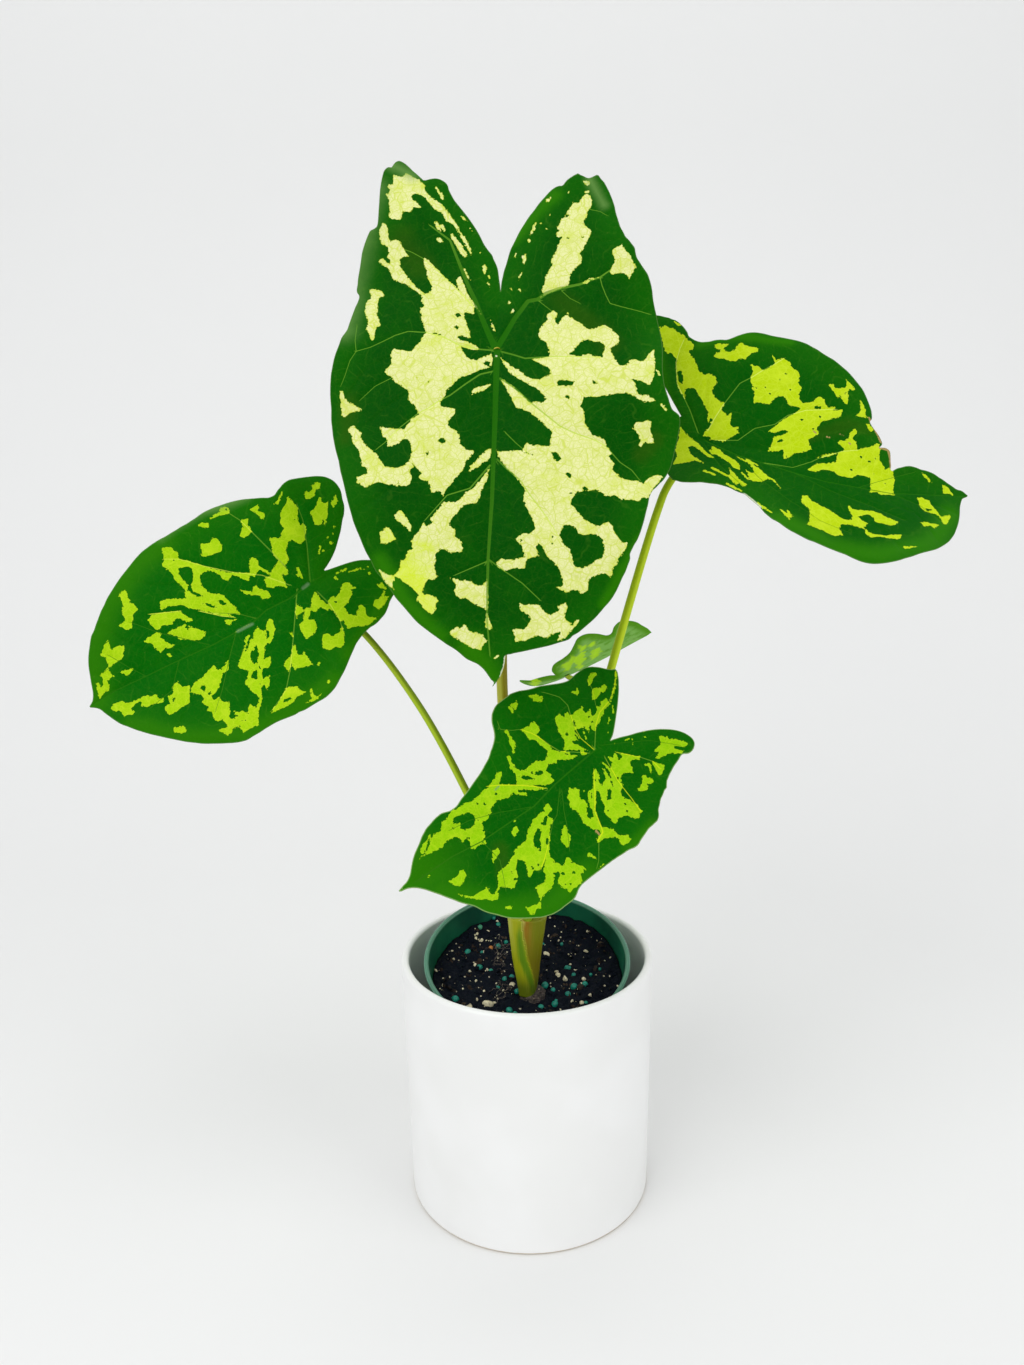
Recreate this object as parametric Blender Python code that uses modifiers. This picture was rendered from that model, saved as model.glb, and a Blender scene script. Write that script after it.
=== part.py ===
"""Potted caladium: a glazed cachepot, a tilted nursery pot of soil, a corm, five leaf stalks and five blades.

Lengths below are in millimetres and angles in degrees; MM turns them into Blender's metres.
The origin is the centre of the cachepot's flat foot, with +Z up and the viewer on the -Y side.
"""

import math
import random

import bmesh
import bpy
from mathutils import Matrix, Vector

MM = 0.001
GAP = 0.3  # clearance between pieces that rest on or in each other

# Cachepot
POT_HEIGHT = 132.0
POT_LIP_RADIUS = 65.0
POT_FOOT_RADIUS = 63.4
POT_WALL = 3.9
POT_FLOOR = 7.0
POT_FOOT_CHAMFER = 1.5
POT_FILLET = 5.0  # where the wall meets the floor inside
POT_TAPER = 0.4  # how much narrower the inside is at its foot
POT_STEPS = 60

# Nursery pot, measured along its own axis from the plane of its rim
NURSERY_TILT = 13.7
NURSERY_RIM_CENTRE = (0.0, -9.2, 133.9)
NURSERY_HEIGHT = 120.0
NURSERY_RIM_RADIUS = 52.8
NURSERY_MOUTH_RADIUS = 50.4
NURSERY_BASE_RADIUS = 42.4
NURSERY_WALL = 1.4
NURSERY_ROLL = 1.1  # radius of the rolled rim's edges
NURSERY_FILLET = 1.0
NURSERY_COLLAR = 9.0  # depth of the thicker band under the rim
NURSERY_STEPS = 52
DRAIN_COUNT = 6
DRAIN_RADIUS = 4.0
DRAIN_CIRCLE = 26.0

# Soil, in the nursery pot's own frame
SOIL_DEPTH = 15.4  # from the rim's plane down to the soil
SOIL_LUMP = 0.65  # height of its largest ripple
SOIL_RINGS = 7
SOIL_STEPS = 36
BEAD_SINK = 0.35  # share of a bead's radius that its centre lies below the soil

# Prills and perlite seen on the soil: (right, back) from the nursery pot's axis, and radius
PRILLS = [
    (-23, 40, 1.7), (-14, 44, 1.6), (-32, 22, 1.7), (-25, 10, 1.6), (-11, 30, 1.7), (-15, 26, 1.6),
    (-8, 2, 1.6), (-12, -1, 1.7), (-37, -13, 1.8), (-10, -22, 1.7), (-6, -24, 1.7), (10, -4, 1.6),
    (24, -5, 1.8), (29, -5, 1.6), (21, -11, 1.7), (14, -18, 1.7), (19, 27, 1.7), (21, 8, 1.6),
    (-19, 25, 1.6),
]
PERLITE = [
    (-20, -17, 2.8), (-30, -20, 2.4), (11, 19, 1.8), (16, 1, 1.7), (21, 2, 1.5), (30, 0, 1.6),
    (-28, 35, 1.7), (-19, 36, 1.6), (33, 21, 2.0),
]
HIDDEN_BEADS = 20  # more of them where the photograph shows no soil
HIDDEN_BEAD_RADII = (1.4, 2.2)
BEAD_SPACING = 4.5
BEAD_MARGIN = 4.0  # from a bead to the soil's edge
CORM_MARGIN = 5.0  # and to the corm
SEEN_SOIL = (-38.0, 34.0, 8.0)  # left, right and back limits of the soil that the photograph shows clearly
SOIL_SEED = 7

# Corm and the sheath of the stalks
CORM_CENTRE = (1.6, -14.2, 113.6)
CORM_RADIUS = 7.8
CORM_HEIGHT = 6.0  # half of it
CORM_SEGMENTS = (18, 10)
SHEATH_PATH = [
    (1.4, -13.8, 119.9), (0.4, -13.2, 126.0), (-0.6, -12.3, 138.0), (-0.2, -11.5, 149.0),
    (0.2, -11.0, 157.0), (0.2, -11.0, 158.2),
]
SHEATH_RADII = [5.8, 7.0, 8.6, 9.8, 10.2, 9.2]
SHEATH_SIDES = 24

# Leaf stalks: way points from inside the sheath to the start of the bend under the blade
STALKS = {
    "centre": {
        "points": [
            (0.4, -11, 146), (0.0, -10.8, 158), (-4.6, -5.5, 200), (-9.8, 5, 262), (-9.6, 13, 320),
            (-9.2, 18, 380),
        ],
        "radii": (2.8, 1.9),
    },
    "left": {
        "points": [
            (-6.0, -11, 146), (-7.3, -10.8, 158), (-17, -8, 192), (-29, -5, 222), (-50.5, -1, 264),
            (-77, 3, 301),
        ],
        "radii": (2.3, 1.3),
    },
    "right": {
        "points": [
            (6.6, -11, 146), (7.7, -10.8, 158), (20, -3.5, 198), (34, 7, 242), (45, 15, 279),
            (64.5, 23, 344), (76, 30, 371),
        ],
        "radii": (2.5, 1.7),
    },
    "front": {
        "points": [(0.4, -17.3, 146), (0.6, -18.1, 158), (6, -21.5, 188), (17, -26, 218)],
        "radii": (2.3, 1.4),
    },
    "rear": {
        "points": [(0.4, -4.8, 146), (0.6, -3.9, 158), (6, 8, 190), (16, 33, 228)],
        "radii": (1.7, 1.0),
    },
}
STALK_SIDES = 10
STALK_RINGS = 18
STALK_BEND = 8.0  # the last stretch, which turns to meet the blade square on

# Leaf blades. The outline is (across, along) the midrib from the stalk, from the sinus round to the
# tip and back; azimuth and rise aim the midrib, roll turns the face about it, droop bends the tip
# down, lift bends the lobes up, fold and curl raise and lower the two sides, wave ripples the edge.
BLADE_THICKNESS = 0.8
BLADE_RINGS = (0.16, 0.36, 0.56, 0.75, 0.9, 1.0)
LEAVES = {
    "centre": {
        "junction": (-9.3, 0.0, 431.5), "azimuth": -93.8, "rise": -61.8, "roll": 0.0, "length": 153.3,
        "droop": 18.0, "lift": 12.0, "fold": (6.0, 6.0), "curl": (-14.0, -14.0), "bow": 0.0,
        "wave": (1.5, 70.0, 0.0, 90.0), "points": 60,
        "down": [
            (-1, -31), (-4, -48), (-12, -66), (-23, -80), (-32, -87), (-37, -89), (-46, -89), (-53, -75),
            (-62, -51), (-68, -39), (-73, -18), (-75, -1), (-76, 18), (-82, 38), (-81, 49), (-70, 68),
            (-64, 88), (-59, 101), (-51, 117), (-38, 129), (-24, 136), (-5, 141), (-3, 148), (0, 153.3),
        ],
        "up": [
            (0, 153.3), (6, 146), (17, 138), (36, 124), (50, 107), (60, 90), (67, 68), (74, 43), (77, 20),
            (74, 2), (70, -13), (66, -32), (65, -48), (61, -61), (57, -66), (56, -85), (54, -96), (47, -99),
            (38, -91), (25, -86), (11, -65), (2, -50), (-1, -31),
        ],
    },
    "left": {
        "junction": (-101.8, 0.0, 325.7), "azimuth": -151.3, "rise": -20.0, "roll": -55.0, "length": 115.9,
        "droop": 20.0, "lift": 10.0, "fold": (8.0, 8.0), "curl": (-12.0, -12.0), "bow": 0.0,
        "wave": (1.5, 52.0, 40.0, 150.0), "points": 56,
        "down": [
            (3, -10), (1, -25), (-2, -32), (-7, -38), (-15, -40), (-25, -32), (-31, -23), (-33, -16),
            (-37, -5), (-49, 11), (-54, 22), (-53, 45), (-53, 60), (-43, 81), (-31, 94), (-17, 106),
            (-4, 112), (0, 115.9),
        ],
        "up": [
            (0, 115.9), (4, 111), (20, 104), (39, 84), (51, 61), (53, 39), (54, 20), (50, 1), (47, -6),
            (50, -12), (52, -20), (49, -31), (42, -38), (33, -37), (14, -25), (6, -17), (3, -10),
        ],
    },
    "right": {
        "junction": (91.8, 28.0, 389.4), "azimuth": -12.2, "rise": -3.7, "roll": 46.0, "length": 133.7,
        "droop": 26.0, "lift": 8.0, "fold": (13.0, 9.0), "curl": (8.0, 12.0), "bow": 5.0,
        "wave": (2.0, 60.0, 60.0, 200.0), "points": 60,
        "down": [
            (-13, -13), (-21, -18), (-33, -25), (-49, -33), (-60, -37), (-69, -35), (-71, -27), (-64, -17),
            (-55, -11), (-54, -3), (-59, 11), (-65, 28), (-65, 40), (-58, 52), (-48, 65), (-38, 74),
            (-24, 80), (-15, 87), (-8, 91), (-5, 94), (-8, 101), (-7, 112), (-3, 124), (0, 133.7),
        ],
        "up": [
            (0, 133.7), (5, 130), (17, 127), (37, 118), (54, 100), (64, 84), (64, 72), (62, 58), (60, 46),
            (53, 37), (36, 26), (31, 14), (31, 3), (33, -7), (30, -13), (23, -18), (11, -23), (0, -25),
            (-6, -22), (-13, -13),
        ],
    },
    "front": {
        "junction": (32.5, -40.0, 251.3), "azimuth": -142.0, "rise": -16.0, "roll": -42.0, "length": 111.5,
        "droop": 20.0, "lift": 10.0, "fold": (8.0, 8.0), "curl": (-14.0, -14.0), "bow": 0.0,
        "wave": (3.0, 44.0, 0.0, 120.0), "points": 56,
        "down": [
            (1, -11), (-1, -23), (-4, -30), (-8, -36), (-13, -42), (-20, -45), (-25, -41), (-24, -35),
            (-29, -21), (-35, -10), (-42, 1), (-46, 14), (-45, 32), (-46, 49), (-49, 58), (-46, 70),
            (-36, 84), (-17, 96), (-4, 104), (0, 111.5),
        ],
        "up": [
            (0, 111.5), (2, 104), (10, 94), (16, 80), (17, 65), (25, 43), (32, 35), (41, 30), (45, 21),
            (41, 5), (36, -11), (38, -26), (32, -35), (28, -38), (19, -32), (11, -24), (4, -16), (1, -11),
        ],
    },
    "rear": {
        "junction": (24.4, 60.0, 265.5), "azimuth": 13.0, "rise": 23.0, "roll": -24.0, "length": 53.0,
        "droop": 1.0, "lift": 88.0, "fold": (2.0, 27.0), "curl": (-14.0, 18.0), "bow": 0.0,
        "wave": (0.0, 30.0, 0.0, 0.0), "points": 48,
        "down": [
            (3, -6), (4, -10), (3, -15), (0, -20), (-6, -25), (-12, -25), (-18, -20), (-18, -14), (-12, -7),
            (-11, 0), (-14, 8), (-16, 16), (-15, 27), (-11, 37), (-5, 46), (0, 53),
        ],
        "up": [
            (0, 53), (5, 51), (10, 48), (15, 45), (19, 41), (22, 36), (20, 32), (16, 30), (16, 27), (21, 22),
            (25, 16), (25, 11), (21, 8), (17, 5), (15, 1), (14, -4), (12, -7), (8, -8), (5, -7), (3, -6),
        ],
    },
}

# Colour (sRGB) and roughness
COLOURS = {
    "glazed white": ((0.92, 0.92, 0.91), 0.18),
    "dark green plastic": ((0.05, 0.28, 0.18), 0.45),
    "potting soil": ((0.07, 0.06, 0.06), 0.95),
    "corm skin": ((0.33, 0.24, 0.15), 0.85),
    "sheath green": ((0.55, 0.58, 0.12), 0.45),
    "stalk green": ((0.50, 0.60, 0.14), 0.4),
    "blade green": ((0.10, 0.42, 0.07), 0.4),
}


def clear_scene():
    for item in list(bpy.data.objects):
        bpy.data.objects.remove(item, do_unlink=True)


def linear(channel):
    return channel / 12.92 if channel <= 0.04045 else ((channel + 0.055) / 1.055) ** 2.4


def material(name):
    colour, roughness = COLOURS[name]
    made = bpy.data.materials.new(name)
    made.use_nodes = True
    shader = made.node_tree.nodes["Principled BSDF"]
    shader.inputs["Base Color"].default_value = (*[linear(channel) for channel in colour], 1.0)
    shader.inputs["Roughness"].default_value = roughness
    return made


def collection(name):
    made = bpy.data.collections.new(name)
    bpy.context.scene.collection.children.link(made)
    return made


def add_mesh(name, bm, home, smooth=True):
    """The object made from a bmesh whose points are in millimetres."""
    bmesh.ops.scale(bm, vec=(MM, MM, MM), verts=bm.verts)
    mesh = bpy.data.meshes.new(name)
    bm.to_mesh(mesh)
    bm.free()
    for face in mesh.polygons:
        face.use_smooth = smooth
    made = bpy.data.objects.new(name, mesh)
    home.objects.link(made)
    return made


def add_cutter(name, bm, home):
    made = add_mesh(name, bm, home)
    made.hide_render = True
    made.display_type = "WIRE"
    return made


def cut(body, cutter):
    modifier = body.modifiers.new("cut " + cutter.name, "BOOLEAN")
    modifier.operation = "DIFFERENCE"
    modifier.solver = "EXACT"
    modifier.object = cutter


def lathe(name, profile, steps, home):
    """A solid turned about Z: the profile's points (radius, height) run over the top and down the outside."""
    bm = bmesh.new()
    points = [bm.verts.new((radius, 0.0, height)) for radius, height in profile]
    for first, second in zip(points, points[1:]):
        bm.edges.new((first, second))
    made = add_mesh(name, bm, home)
    screw = made.modifiers.new("turn", "SCREW")
    screw.axis = "Z"
    screw.angle = math.tau
    screw.steps = steps
    screw.render_steps = steps
    screw.use_merge_vertices = True
    screw.merge_threshold = 0.00001
    screw.use_smooth_shade = True
    return made


def arc_points(centre, radius, start, end, count):
    """Points (radius, height) along an arc, from one angle to the other."""
    angles = [math.radians(start + (end - start) * step / count) for step in range(count + 1)]
    return [(centre[0] + radius * math.cos(a), centre[1] + radius * math.sin(a)) for a in angles]


def build_cachepot(home):
    lip = POT_WALL / 2
    inner = POT_LIP_RADIUS - POT_WALL
    fillet = (inner - POT_TAPER - POT_FILLET, POT_FLOOR + POT_FILLET)
    profile = [(0.0, POT_FLOOR)] + arc_points(fillet, POT_FILLET, -90.0, 0.0, 4)
    profile += arc_points((POT_LIP_RADIUS - lip, POT_HEIGHT - lip), lip, 180.0, 0.0, 8)
    profile += [
        (POT_FOOT_RADIUS, POT_FOOT_CHAMFER),
        (POT_FOOT_RADIUS - POT_FOOT_CHAMFER, 0.0),
        (0.0, 0.0),
    ]
    pot = lathe("cachepot", profile, POT_STEPS, home)
    pot.data.materials.append(material("glazed white"))
    return pot


def nursery_frame():
    """The nursery pot's own frame: origin at its rim's centre, Z along its tilted axis."""
    tilt = Matrix.Rotation(math.radians(NURSERY_TILT), 4, "X")
    return Matrix.Translation(Vector(NURSERY_RIM_CENTRE) * MM) @ tilt


def nursery_inner_radius(depth):
    """Inside radius at a depth below the rim."""
    share = depth / NURSERY_HEIGHT
    return NURSERY_MOUTH_RADIUS + (NURSERY_BASE_RADIUS - NURSERY_WALL - NURSERY_MOUTH_RADIUS) * share


def build_nursery_pot(home, cutters):
    floor = -NURSERY_HEIGHT + NURSERY_WALL
    roll = NURSERY_ROLL
    collar_radius = nursery_inner_radius(NURSERY_COLLAR) + NURSERY_WALL
    profile = [
        (0.0, floor),
        (nursery_inner_radius(-floor) - NURSERY_FILLET, floor),
        (nursery_inner_radius(-floor - NURSERY_FILLET), floor + NURSERY_FILLET),
        (nursery_inner_radius(NURSERY_COLLAR), -NURSERY_COLLAR),
        (NURSERY_MOUTH_RADIUS, -2.0),
    ]
    profile += arc_points((NURSERY_MOUTH_RADIUS + roll, -roll), roll, 180.0, 90.0, 2)
    profile += arc_points((NURSERY_RIM_RADIUS - roll, -roll), roll, 90.0, -30.0, 3)
    profile += [
        (NURSERY_MOUTH_RADIUS + NURSERY_WALL, -3.0 * roll),
        (collar_radius, -NURSERY_COLLAR),
        (NURSERY_BASE_RADIUS, -NURSERY_HEIGHT + NURSERY_FILLET),
        (NURSERY_BASE_RADIUS - NURSERY_FILLET, -NURSERY_HEIGHT),
        (0.0, -NURSERY_HEIGHT),
    ]
    pot = lathe("nursery_pot", profile, NURSERY_STEPS, home)
    pot.matrix_world = nursery_frame()
    pot.data.materials.append(material("dark green plastic"))
    bm = bmesh.new()
    for index in range(DRAIN_COUNT):
        angle = math.tau * (index + 0.5) / DRAIN_COUNT
        place = Matrix.Translation(
            (DRAIN_CIRCLE * math.cos(angle), DRAIN_CIRCLE * math.sin(angle), -NURSERY_HEIGHT)
        )
        bmesh.ops.create_cone(
            bm,
            cap_ends=True,
            segments=16,
            radius1=DRAIN_RADIUS,
            radius2=DRAIN_RADIUS,
            depth=6.0 * NURSERY_WALL,
            matrix=place,
        )
    drains = add_cutter("drain cutters", bm, cutters)
    drains.matrix_world = nursery_frame()
    cut(pot, drains)
    return pot


def bead_places():
    """(right, back, radius) of every bead on the soil: those seen, then random ones in the hidden parts."""
    places = PRILLS + PERLITE
    draw = random.Random(SOIL_SEED)
    reach = nursery_inner_radius(SOIL_DEPTH) - BEAD_MARGIN
    corm = nursery_frame().inverted() @ (Vector(CORM_CENTRE) * MM) / MM
    left, rightmost, front = SEEN_SOIL
    wanted = len(places) + HIDDEN_BEADS
    while len(places) < wanted:
        right, back = draw.uniform(-reach, reach), draw.uniform(-reach, reach)
        radius = draw.uniform(*HIDDEN_BEAD_RADII)
        hidden = back > front or right > rightmost or right < left
        clear_of_stem = math.hypot(right - corm.x, back - corm.y) > CORM_RADIUS + CORM_MARGIN
        apart = all(math.hypot(right - x, back - y) > BEAD_SPACING for x, y, _ in places)
        if hidden and clear_of_stem and apart and math.hypot(right, back) < reach:
            places.append((right, back, radius))
    return places


def soil_height(right, back):
    """Lumps of the soil's surface, a sum of a few uneven ripples."""
    ripple = math.sin(0.31 * right + 0.9) * math.cos(0.27 * back - 0.4)
    ripple += 0.6 * math.sin(0.63 * right - 0.35 * back + 2.0)
    ripple += 0.4 * math.sin(0.9 * back + 0.5 * right)
    return SOIL_LUMP * ripple


def build_soil(home, cutters, scraps):
    bm = bmesh.new()
    top_radius = nursery_inner_radius(SOIL_DEPTH) - GAP - 0.1
    middle = bm.verts.new((0.0, 0.0, -SOIL_DEPTH + soil_height(0.0, 0.0)))
    rings = []
    for ring in range(1, SOIL_RINGS + 1):
        radius = top_radius * ring / SOIL_RINGS
        row = []
        for step in range(SOIL_STEPS):
            angle = math.tau * step / SOIL_STEPS
            right, back = radius * math.cos(angle), radius * math.sin(angle)
            row.append(bm.verts.new((right, back, -SOIL_DEPTH + soil_height(right, back))))
        rings.append(row)
    base_depth = NURSERY_HEIGHT - NURSERY_WALL - NURSERY_FILLET - GAP
    base_radius = nursery_inner_radius(base_depth) - GAP - 0.1
    rings.append(
        [
            bm.verts.new(
                (
                    base_radius * math.cos(math.tau * step / SOIL_STEPS),
                    base_radius * math.sin(math.tau * step / SOIL_STEPS),
                    -base_depth,
                )
            )
            for step in range(SOIL_STEPS)
        ]
    )
    for step in range(SOIL_STEPS):
        after = (step + 1) % SOIL_STEPS
        bm.faces.new((middle, rings[0][step], rings[0][after]))
        for inner, outer in zip(rings, rings[1:]):
            bm.faces.new((inner[step], outer[step], outer[after], inner[after]))
    bm.faces.new(rings[-1][::-1])
    bmesh.ops.triangulate(bm, faces=bm.faces)
    soil = add_mesh("potting_soil", bm, home)
    soil.matrix_world = nursery_frame()
    soil.data.materials.append(material("potting soil"))

    bm = bmesh.new()
    bmesh.ops.create_uvsphere(bm, u_segments=CORM_SEGMENTS[0], v_segments=CORM_SEGMENTS[1], radius=1.0)
    bmesh.ops.scale(bm, vec=(CORM_RADIUS + GAP, CORM_RADIUS + GAP, CORM_HEIGHT + GAP), verts=bm.verts)
    bmesh.ops.translate(bm, vec=CORM_CENTRE, verts=bm.verts)
    cut(soil, add_cutter("corm hollow", bm, cutters))

    beads = bmesh.new()
    for index, (right, back, radius) in enumerate(bead_places()):
        height = -SOIL_DEPTH + soil_height(right, back) - BEAD_SINK * radius
        turn = Matrix.Rotation(index * 1.7, 4, "Z") @ Matrix.Rotation(index * 0.9, 4, "X")
        place = Matrix.Translation((right, back, height)) @ turn
        bmesh.ops.create_icosphere(beads, subdivisions=1, radius=radius, matrix=place)
    loose = add_mesh("beads", beads, scraps)
    loose.matrix_world = nursery_frame()
    join = soil.modifiers.new("beads", "BOOLEAN")
    join.operation = "UNION"
    join.solver = "EXACT"
    join.object = loose
    bpy.context.view_layer.update()
    whole = bpy.data.meshes.new_from_object(soil.evaluated_get(bpy.context.evaluated_depsgraph_get()))
    soil.modifiers.clear()
    soil.data = whole
    bpy.data.objects.remove(loose, do_unlink=True)
    return soil


def build_corm(home):
    bm = bmesh.new()
    bmesh.ops.create_uvsphere(bm, u_segments=CORM_SEGMENTS[0], v_segments=CORM_SEGMENTS[1], radius=1.0)
    bmesh.ops.scale(bm, vec=(CORM_RADIUS, CORM_RADIUS, CORM_HEIGHT), verts=bm.verts)
    bmesh.ops.translate(bm, vec=CORM_CENTRE, verts=bm.verts)
    corm = add_mesh("corm", bm, home)
    corm.data.materials.append(material("corm skin"))
    return corm


def smooth_path(points, count):
    """Points evenly spaced by way point along a Catmull-Rom curve through the given points."""
    knots = [Vector(point) for point in points]
    knots = [2 * knots[0] - knots[1]] + knots + [2 * knots[-1] - knots[-2]]
    spans = len(knots) - 3
    path = []
    for step in range(count + 1):
        place = min(step / count * spans, spans - 1e-9)
        span = int(place)
        share = place - span
        before, start, end, after = knots[span : span + 4]
        path.append(
            0.5
            * (
                2 * start
                + (end - before) * share
                + (2 * before - 5 * start + 4 * end - after) * share**2
                + (3 * start - before - 3 * end + after) * share**3
            )
        )
    return path


def tube(path, radii, sides, end_direction=None):
    """A closed round tube along a path, with its own radius at each point."""
    bm = bmesh.new()
    rings = []
    across = None
    for index, centre in enumerate(path):
        ahead = path[min(index + 1, len(path) - 1)] - path[max(index - 1, 0)]
        if centre is path[-1] and end_direction:
            ahead = end_direction
        ahead = ahead.normalized()
        across = Vector((1.0, 0.0, 0.0)) if across is None else across
        across = (across - ahead * across.dot(ahead)).normalized()
        other = ahead.cross(across)
        angles = [math.tau * side / sides for side in range(sides)]
        rings.append(
            [
                bm.verts.new(centre + radii[index] * (math.cos(angle) * across + math.sin(angle) * other))
                for angle in angles
            ]
        )
    for first, second in zip(rings, rings[1:]):
        for side in range(sides):
            after = (side + 1) % sides
            bm.faces.new((first[side], first[after], second[after], second[side]))
    bm.faces.new(rings[0][::-1])
    bm.faces.new(rings[-1])
    return bm


def leaf_axes(leaf):
    """Unit vectors at the stalk: along the midrib, across it and out of the upper face."""
    azimuth, rise, roll = (math.radians(leaf[key]) for key in ("azimuth", "rise", "roll"))
    along = Vector(
        (math.cos(azimuth) * math.cos(rise), math.sin(azimuth) * math.cos(rise), math.sin(rise))
    )
    level_face = (Vector((0.0, 0.0, 1.0)) - along * along.z).normalized()
    level_across = along.cross(level_face)
    face = math.cos(roll) * level_face + math.sin(roll) * level_across
    across = math.cos(roll) * level_across - math.sin(roll) * level_face
    return along, across, face


def blade_point(leaf, x, y):
    """Where the upper face lies in space, x millimetres across the midrib and y along it."""
    along, across, face = leaf_axes(leaf)
    bend = math.radians(leaf["droop"] if y > 0 else -leaf["lift"]) / leaf["length"]
    turned = bend * y
    reach = math.sin(turned) / bend
    fall = (1 - math.cos(turned)) / bend
    face_here = math.cos(turned) * face + math.sin(turned) * along
    share = min(max(y / leaf["length"], 0.0), 1.0)
    bow = leaf["bow"] * 4 * share * (1 - share)
    midrib = Vector(leaf["junction"]) + reach * along - fall * face + bow * across

    side = 0 if x < 0 else 1
    start = math.radians(leaf["fold"][side])
    curl = math.radians(leaf["curl"][side]) / 100
    end = start + curl * abs(x)
    out = (math.sin(end) - math.sin(start)) / curl
    height = (math.cos(start) - math.cos(end)) / curl
    swell, wavelength, *phases = leaf["wave"]
    height += swell * (x / 50) ** 2 * math.sin(math.tau * y / wavelength + math.radians(phases[side]))
    return midrib + math.copysign(out, x) * across + height * face_here


def outline_points(leaf):
    """The blade's closed outline (across, along), evenly spaced along each of its two sides."""
    closed = []
    for side in (leaf["down"], leaf["up"]):
        fine = smooth_path([(x, y, 0.0) for x, y in side], 20 * len(side))
        lengths = [0.0]
        for first, second in zip(fine, fine[1:]):
            lengths.append(lengths[-1] + (second - first).length)
        wanted = leaf["points"] // 2
        at = 0
        for step in range(wanted):
            target = lengths[-1] * step / wanted
            while lengths[at + 1] < target:
                at += 1
            share = (target - lengths[at]) / (lengths[at + 1] - lengths[at])
            closed.append(fine[at].lerp(fine[at + 1], share))
    return closed


def build_blade(name, leaf, home, paint):
    bm = bmesh.new()
    outline = outline_points(leaf)
    middle = bm.verts.new(blade_point(leaf, 0.0, 0.0))
    rings = [
        [bm.verts.new(blade_point(leaf, share * point.x, share * point.y)) for point in outline]
        for share in BLADE_RINGS
    ]
    count = len(outline)
    for step in range(count):
        after = (step + 1) % count
        bm.faces.new((middle, rings[0][after], rings[0][step]))
        for inner, outer in zip(rings, rings[1:]):
            bm.faces.new((inner[step], inner[after], outer[after]))
            bm.faces.new((inner[step], outer[after], outer[step]))
    face_out = leaf_axes(leaf)[2]
    if sum((face.normal for face in bm.faces if not face.normal_update()), Vector()).dot(face_out) < 0:
        bmesh.ops.reverse_faces(bm, faces=bm.faces)
    blade = add_mesh(name, bm, home)
    solid = blade.modifiers.new("thickness", "SOLIDIFY")
    solid.thickness = BLADE_THICKNESS * MM
    solid.offset = -1.0
    blade.data.materials.append(paint)
    return blade


def stalk_path(name):
    """The stalk's centre line: through its way points, then square on to the blade's under face."""
    leaf = LEAVES[name]
    face = leaf_axes(leaf)[2]
    junction = Vector(leaf["junction"])
    end = junction - (BLADE_THICKNESS + GAP) * face
    bend = junction - STALK_BEND * face
    points = [Vector(point) for point in STALKS[name]["points"]] + [bend, end]
    return smooth_path(points, STALK_RINGS)


def stalk_radii(name, extra=0.0):
    base, top = STALKS[name]["radii"]
    return [base + (top - base) * step / STALK_RINGS + extra for step in range(STALK_RINGS + 1)]


def build_stalks(home, cutters, sheath):
    paint = material("stalk green")
    for name in STALKS:
        path = stalk_path(name)
        face = leaf_axes(LEAVES[name])[2]
        stalk = add_mesh("petiole_" + name, tube(path, stalk_radii(name), STALK_SIDES, face), home)
        stalk.data.materials.append(paint)
        below = path[0] - (path[1] - path[0]).normalized() * GAP
        socket = tube([below] + path[1:6], stalk_radii(name, GAP)[:6], STALK_SIDES)
        cut(sheath, add_cutter("socket " + name, socket, cutters))


def build_sheath(home):
    rings = 10
    path = smooth_path(SHEATH_PATH, rings)
    spans = len(SHEATH_RADII) - 1
    radii = []
    for step in range(rings + 1):
        place = min(step / rings * spans, spans - 1e-9)
        low = int(place)
        radii.append(SHEATH_RADII[low] + (SHEATH_RADII[low + 1] - SHEATH_RADII[low]) * (place - low))
    sheath = add_mesh("stem_sheath", tube(path, radii, SHEATH_SIDES), home)
    sheath.data.materials.append(material("sheath green"))
    return sheath


def main():
    clear_scene()
    plant = collection("potted caladium")
    cutters = collection("cutters")
    scraps = collection("loose beads")
    build_cachepot(plant)
    build_nursery_pot(plant, cutters)
    build_soil(plant, cutters, scraps)
    build_corm(plant)
    sheath = build_sheath(plant)
    build_stalks(plant, cutters, sheath)
    green = material("blade green")
    for name, leaf in LEAVES.items():
        build_blade("blade_" + name, leaf, plant, green)
    bpy.data.collections.remove(scraps)


main()
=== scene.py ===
import math
import random

import bmesh
import bpy
import numpy as np
from mathutils import Matrix, Vector
from mathutils.geometry import delaunay_2d_cdt
from mathutils.kdtree import KDTree


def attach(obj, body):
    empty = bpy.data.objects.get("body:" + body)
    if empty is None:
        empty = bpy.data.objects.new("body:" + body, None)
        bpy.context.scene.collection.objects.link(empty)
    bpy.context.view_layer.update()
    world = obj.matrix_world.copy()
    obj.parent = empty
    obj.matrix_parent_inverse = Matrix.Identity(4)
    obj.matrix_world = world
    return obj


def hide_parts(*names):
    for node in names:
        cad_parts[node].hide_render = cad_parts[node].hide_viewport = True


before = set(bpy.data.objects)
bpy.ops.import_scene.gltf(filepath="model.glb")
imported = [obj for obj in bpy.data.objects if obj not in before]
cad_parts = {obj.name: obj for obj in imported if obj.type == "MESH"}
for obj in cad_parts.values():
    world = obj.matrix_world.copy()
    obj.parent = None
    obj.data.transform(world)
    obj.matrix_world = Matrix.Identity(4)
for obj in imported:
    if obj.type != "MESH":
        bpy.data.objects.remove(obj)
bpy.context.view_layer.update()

# Camera
# The photograph is taken from a little above the largest leaf, with the picture turned a degree.
# The leaves' markings and the bits on the soil are placed through this camera, so it comes first.
# Lengths are in millimetres, apart from those of the backdrop and the lamps, which are in metres.
MM = 0.001
PHOTO_WIDTH, PHOTO_HEIGHT = 1024, 1365
FOCAL_PIXELS = 1104.0
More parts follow.
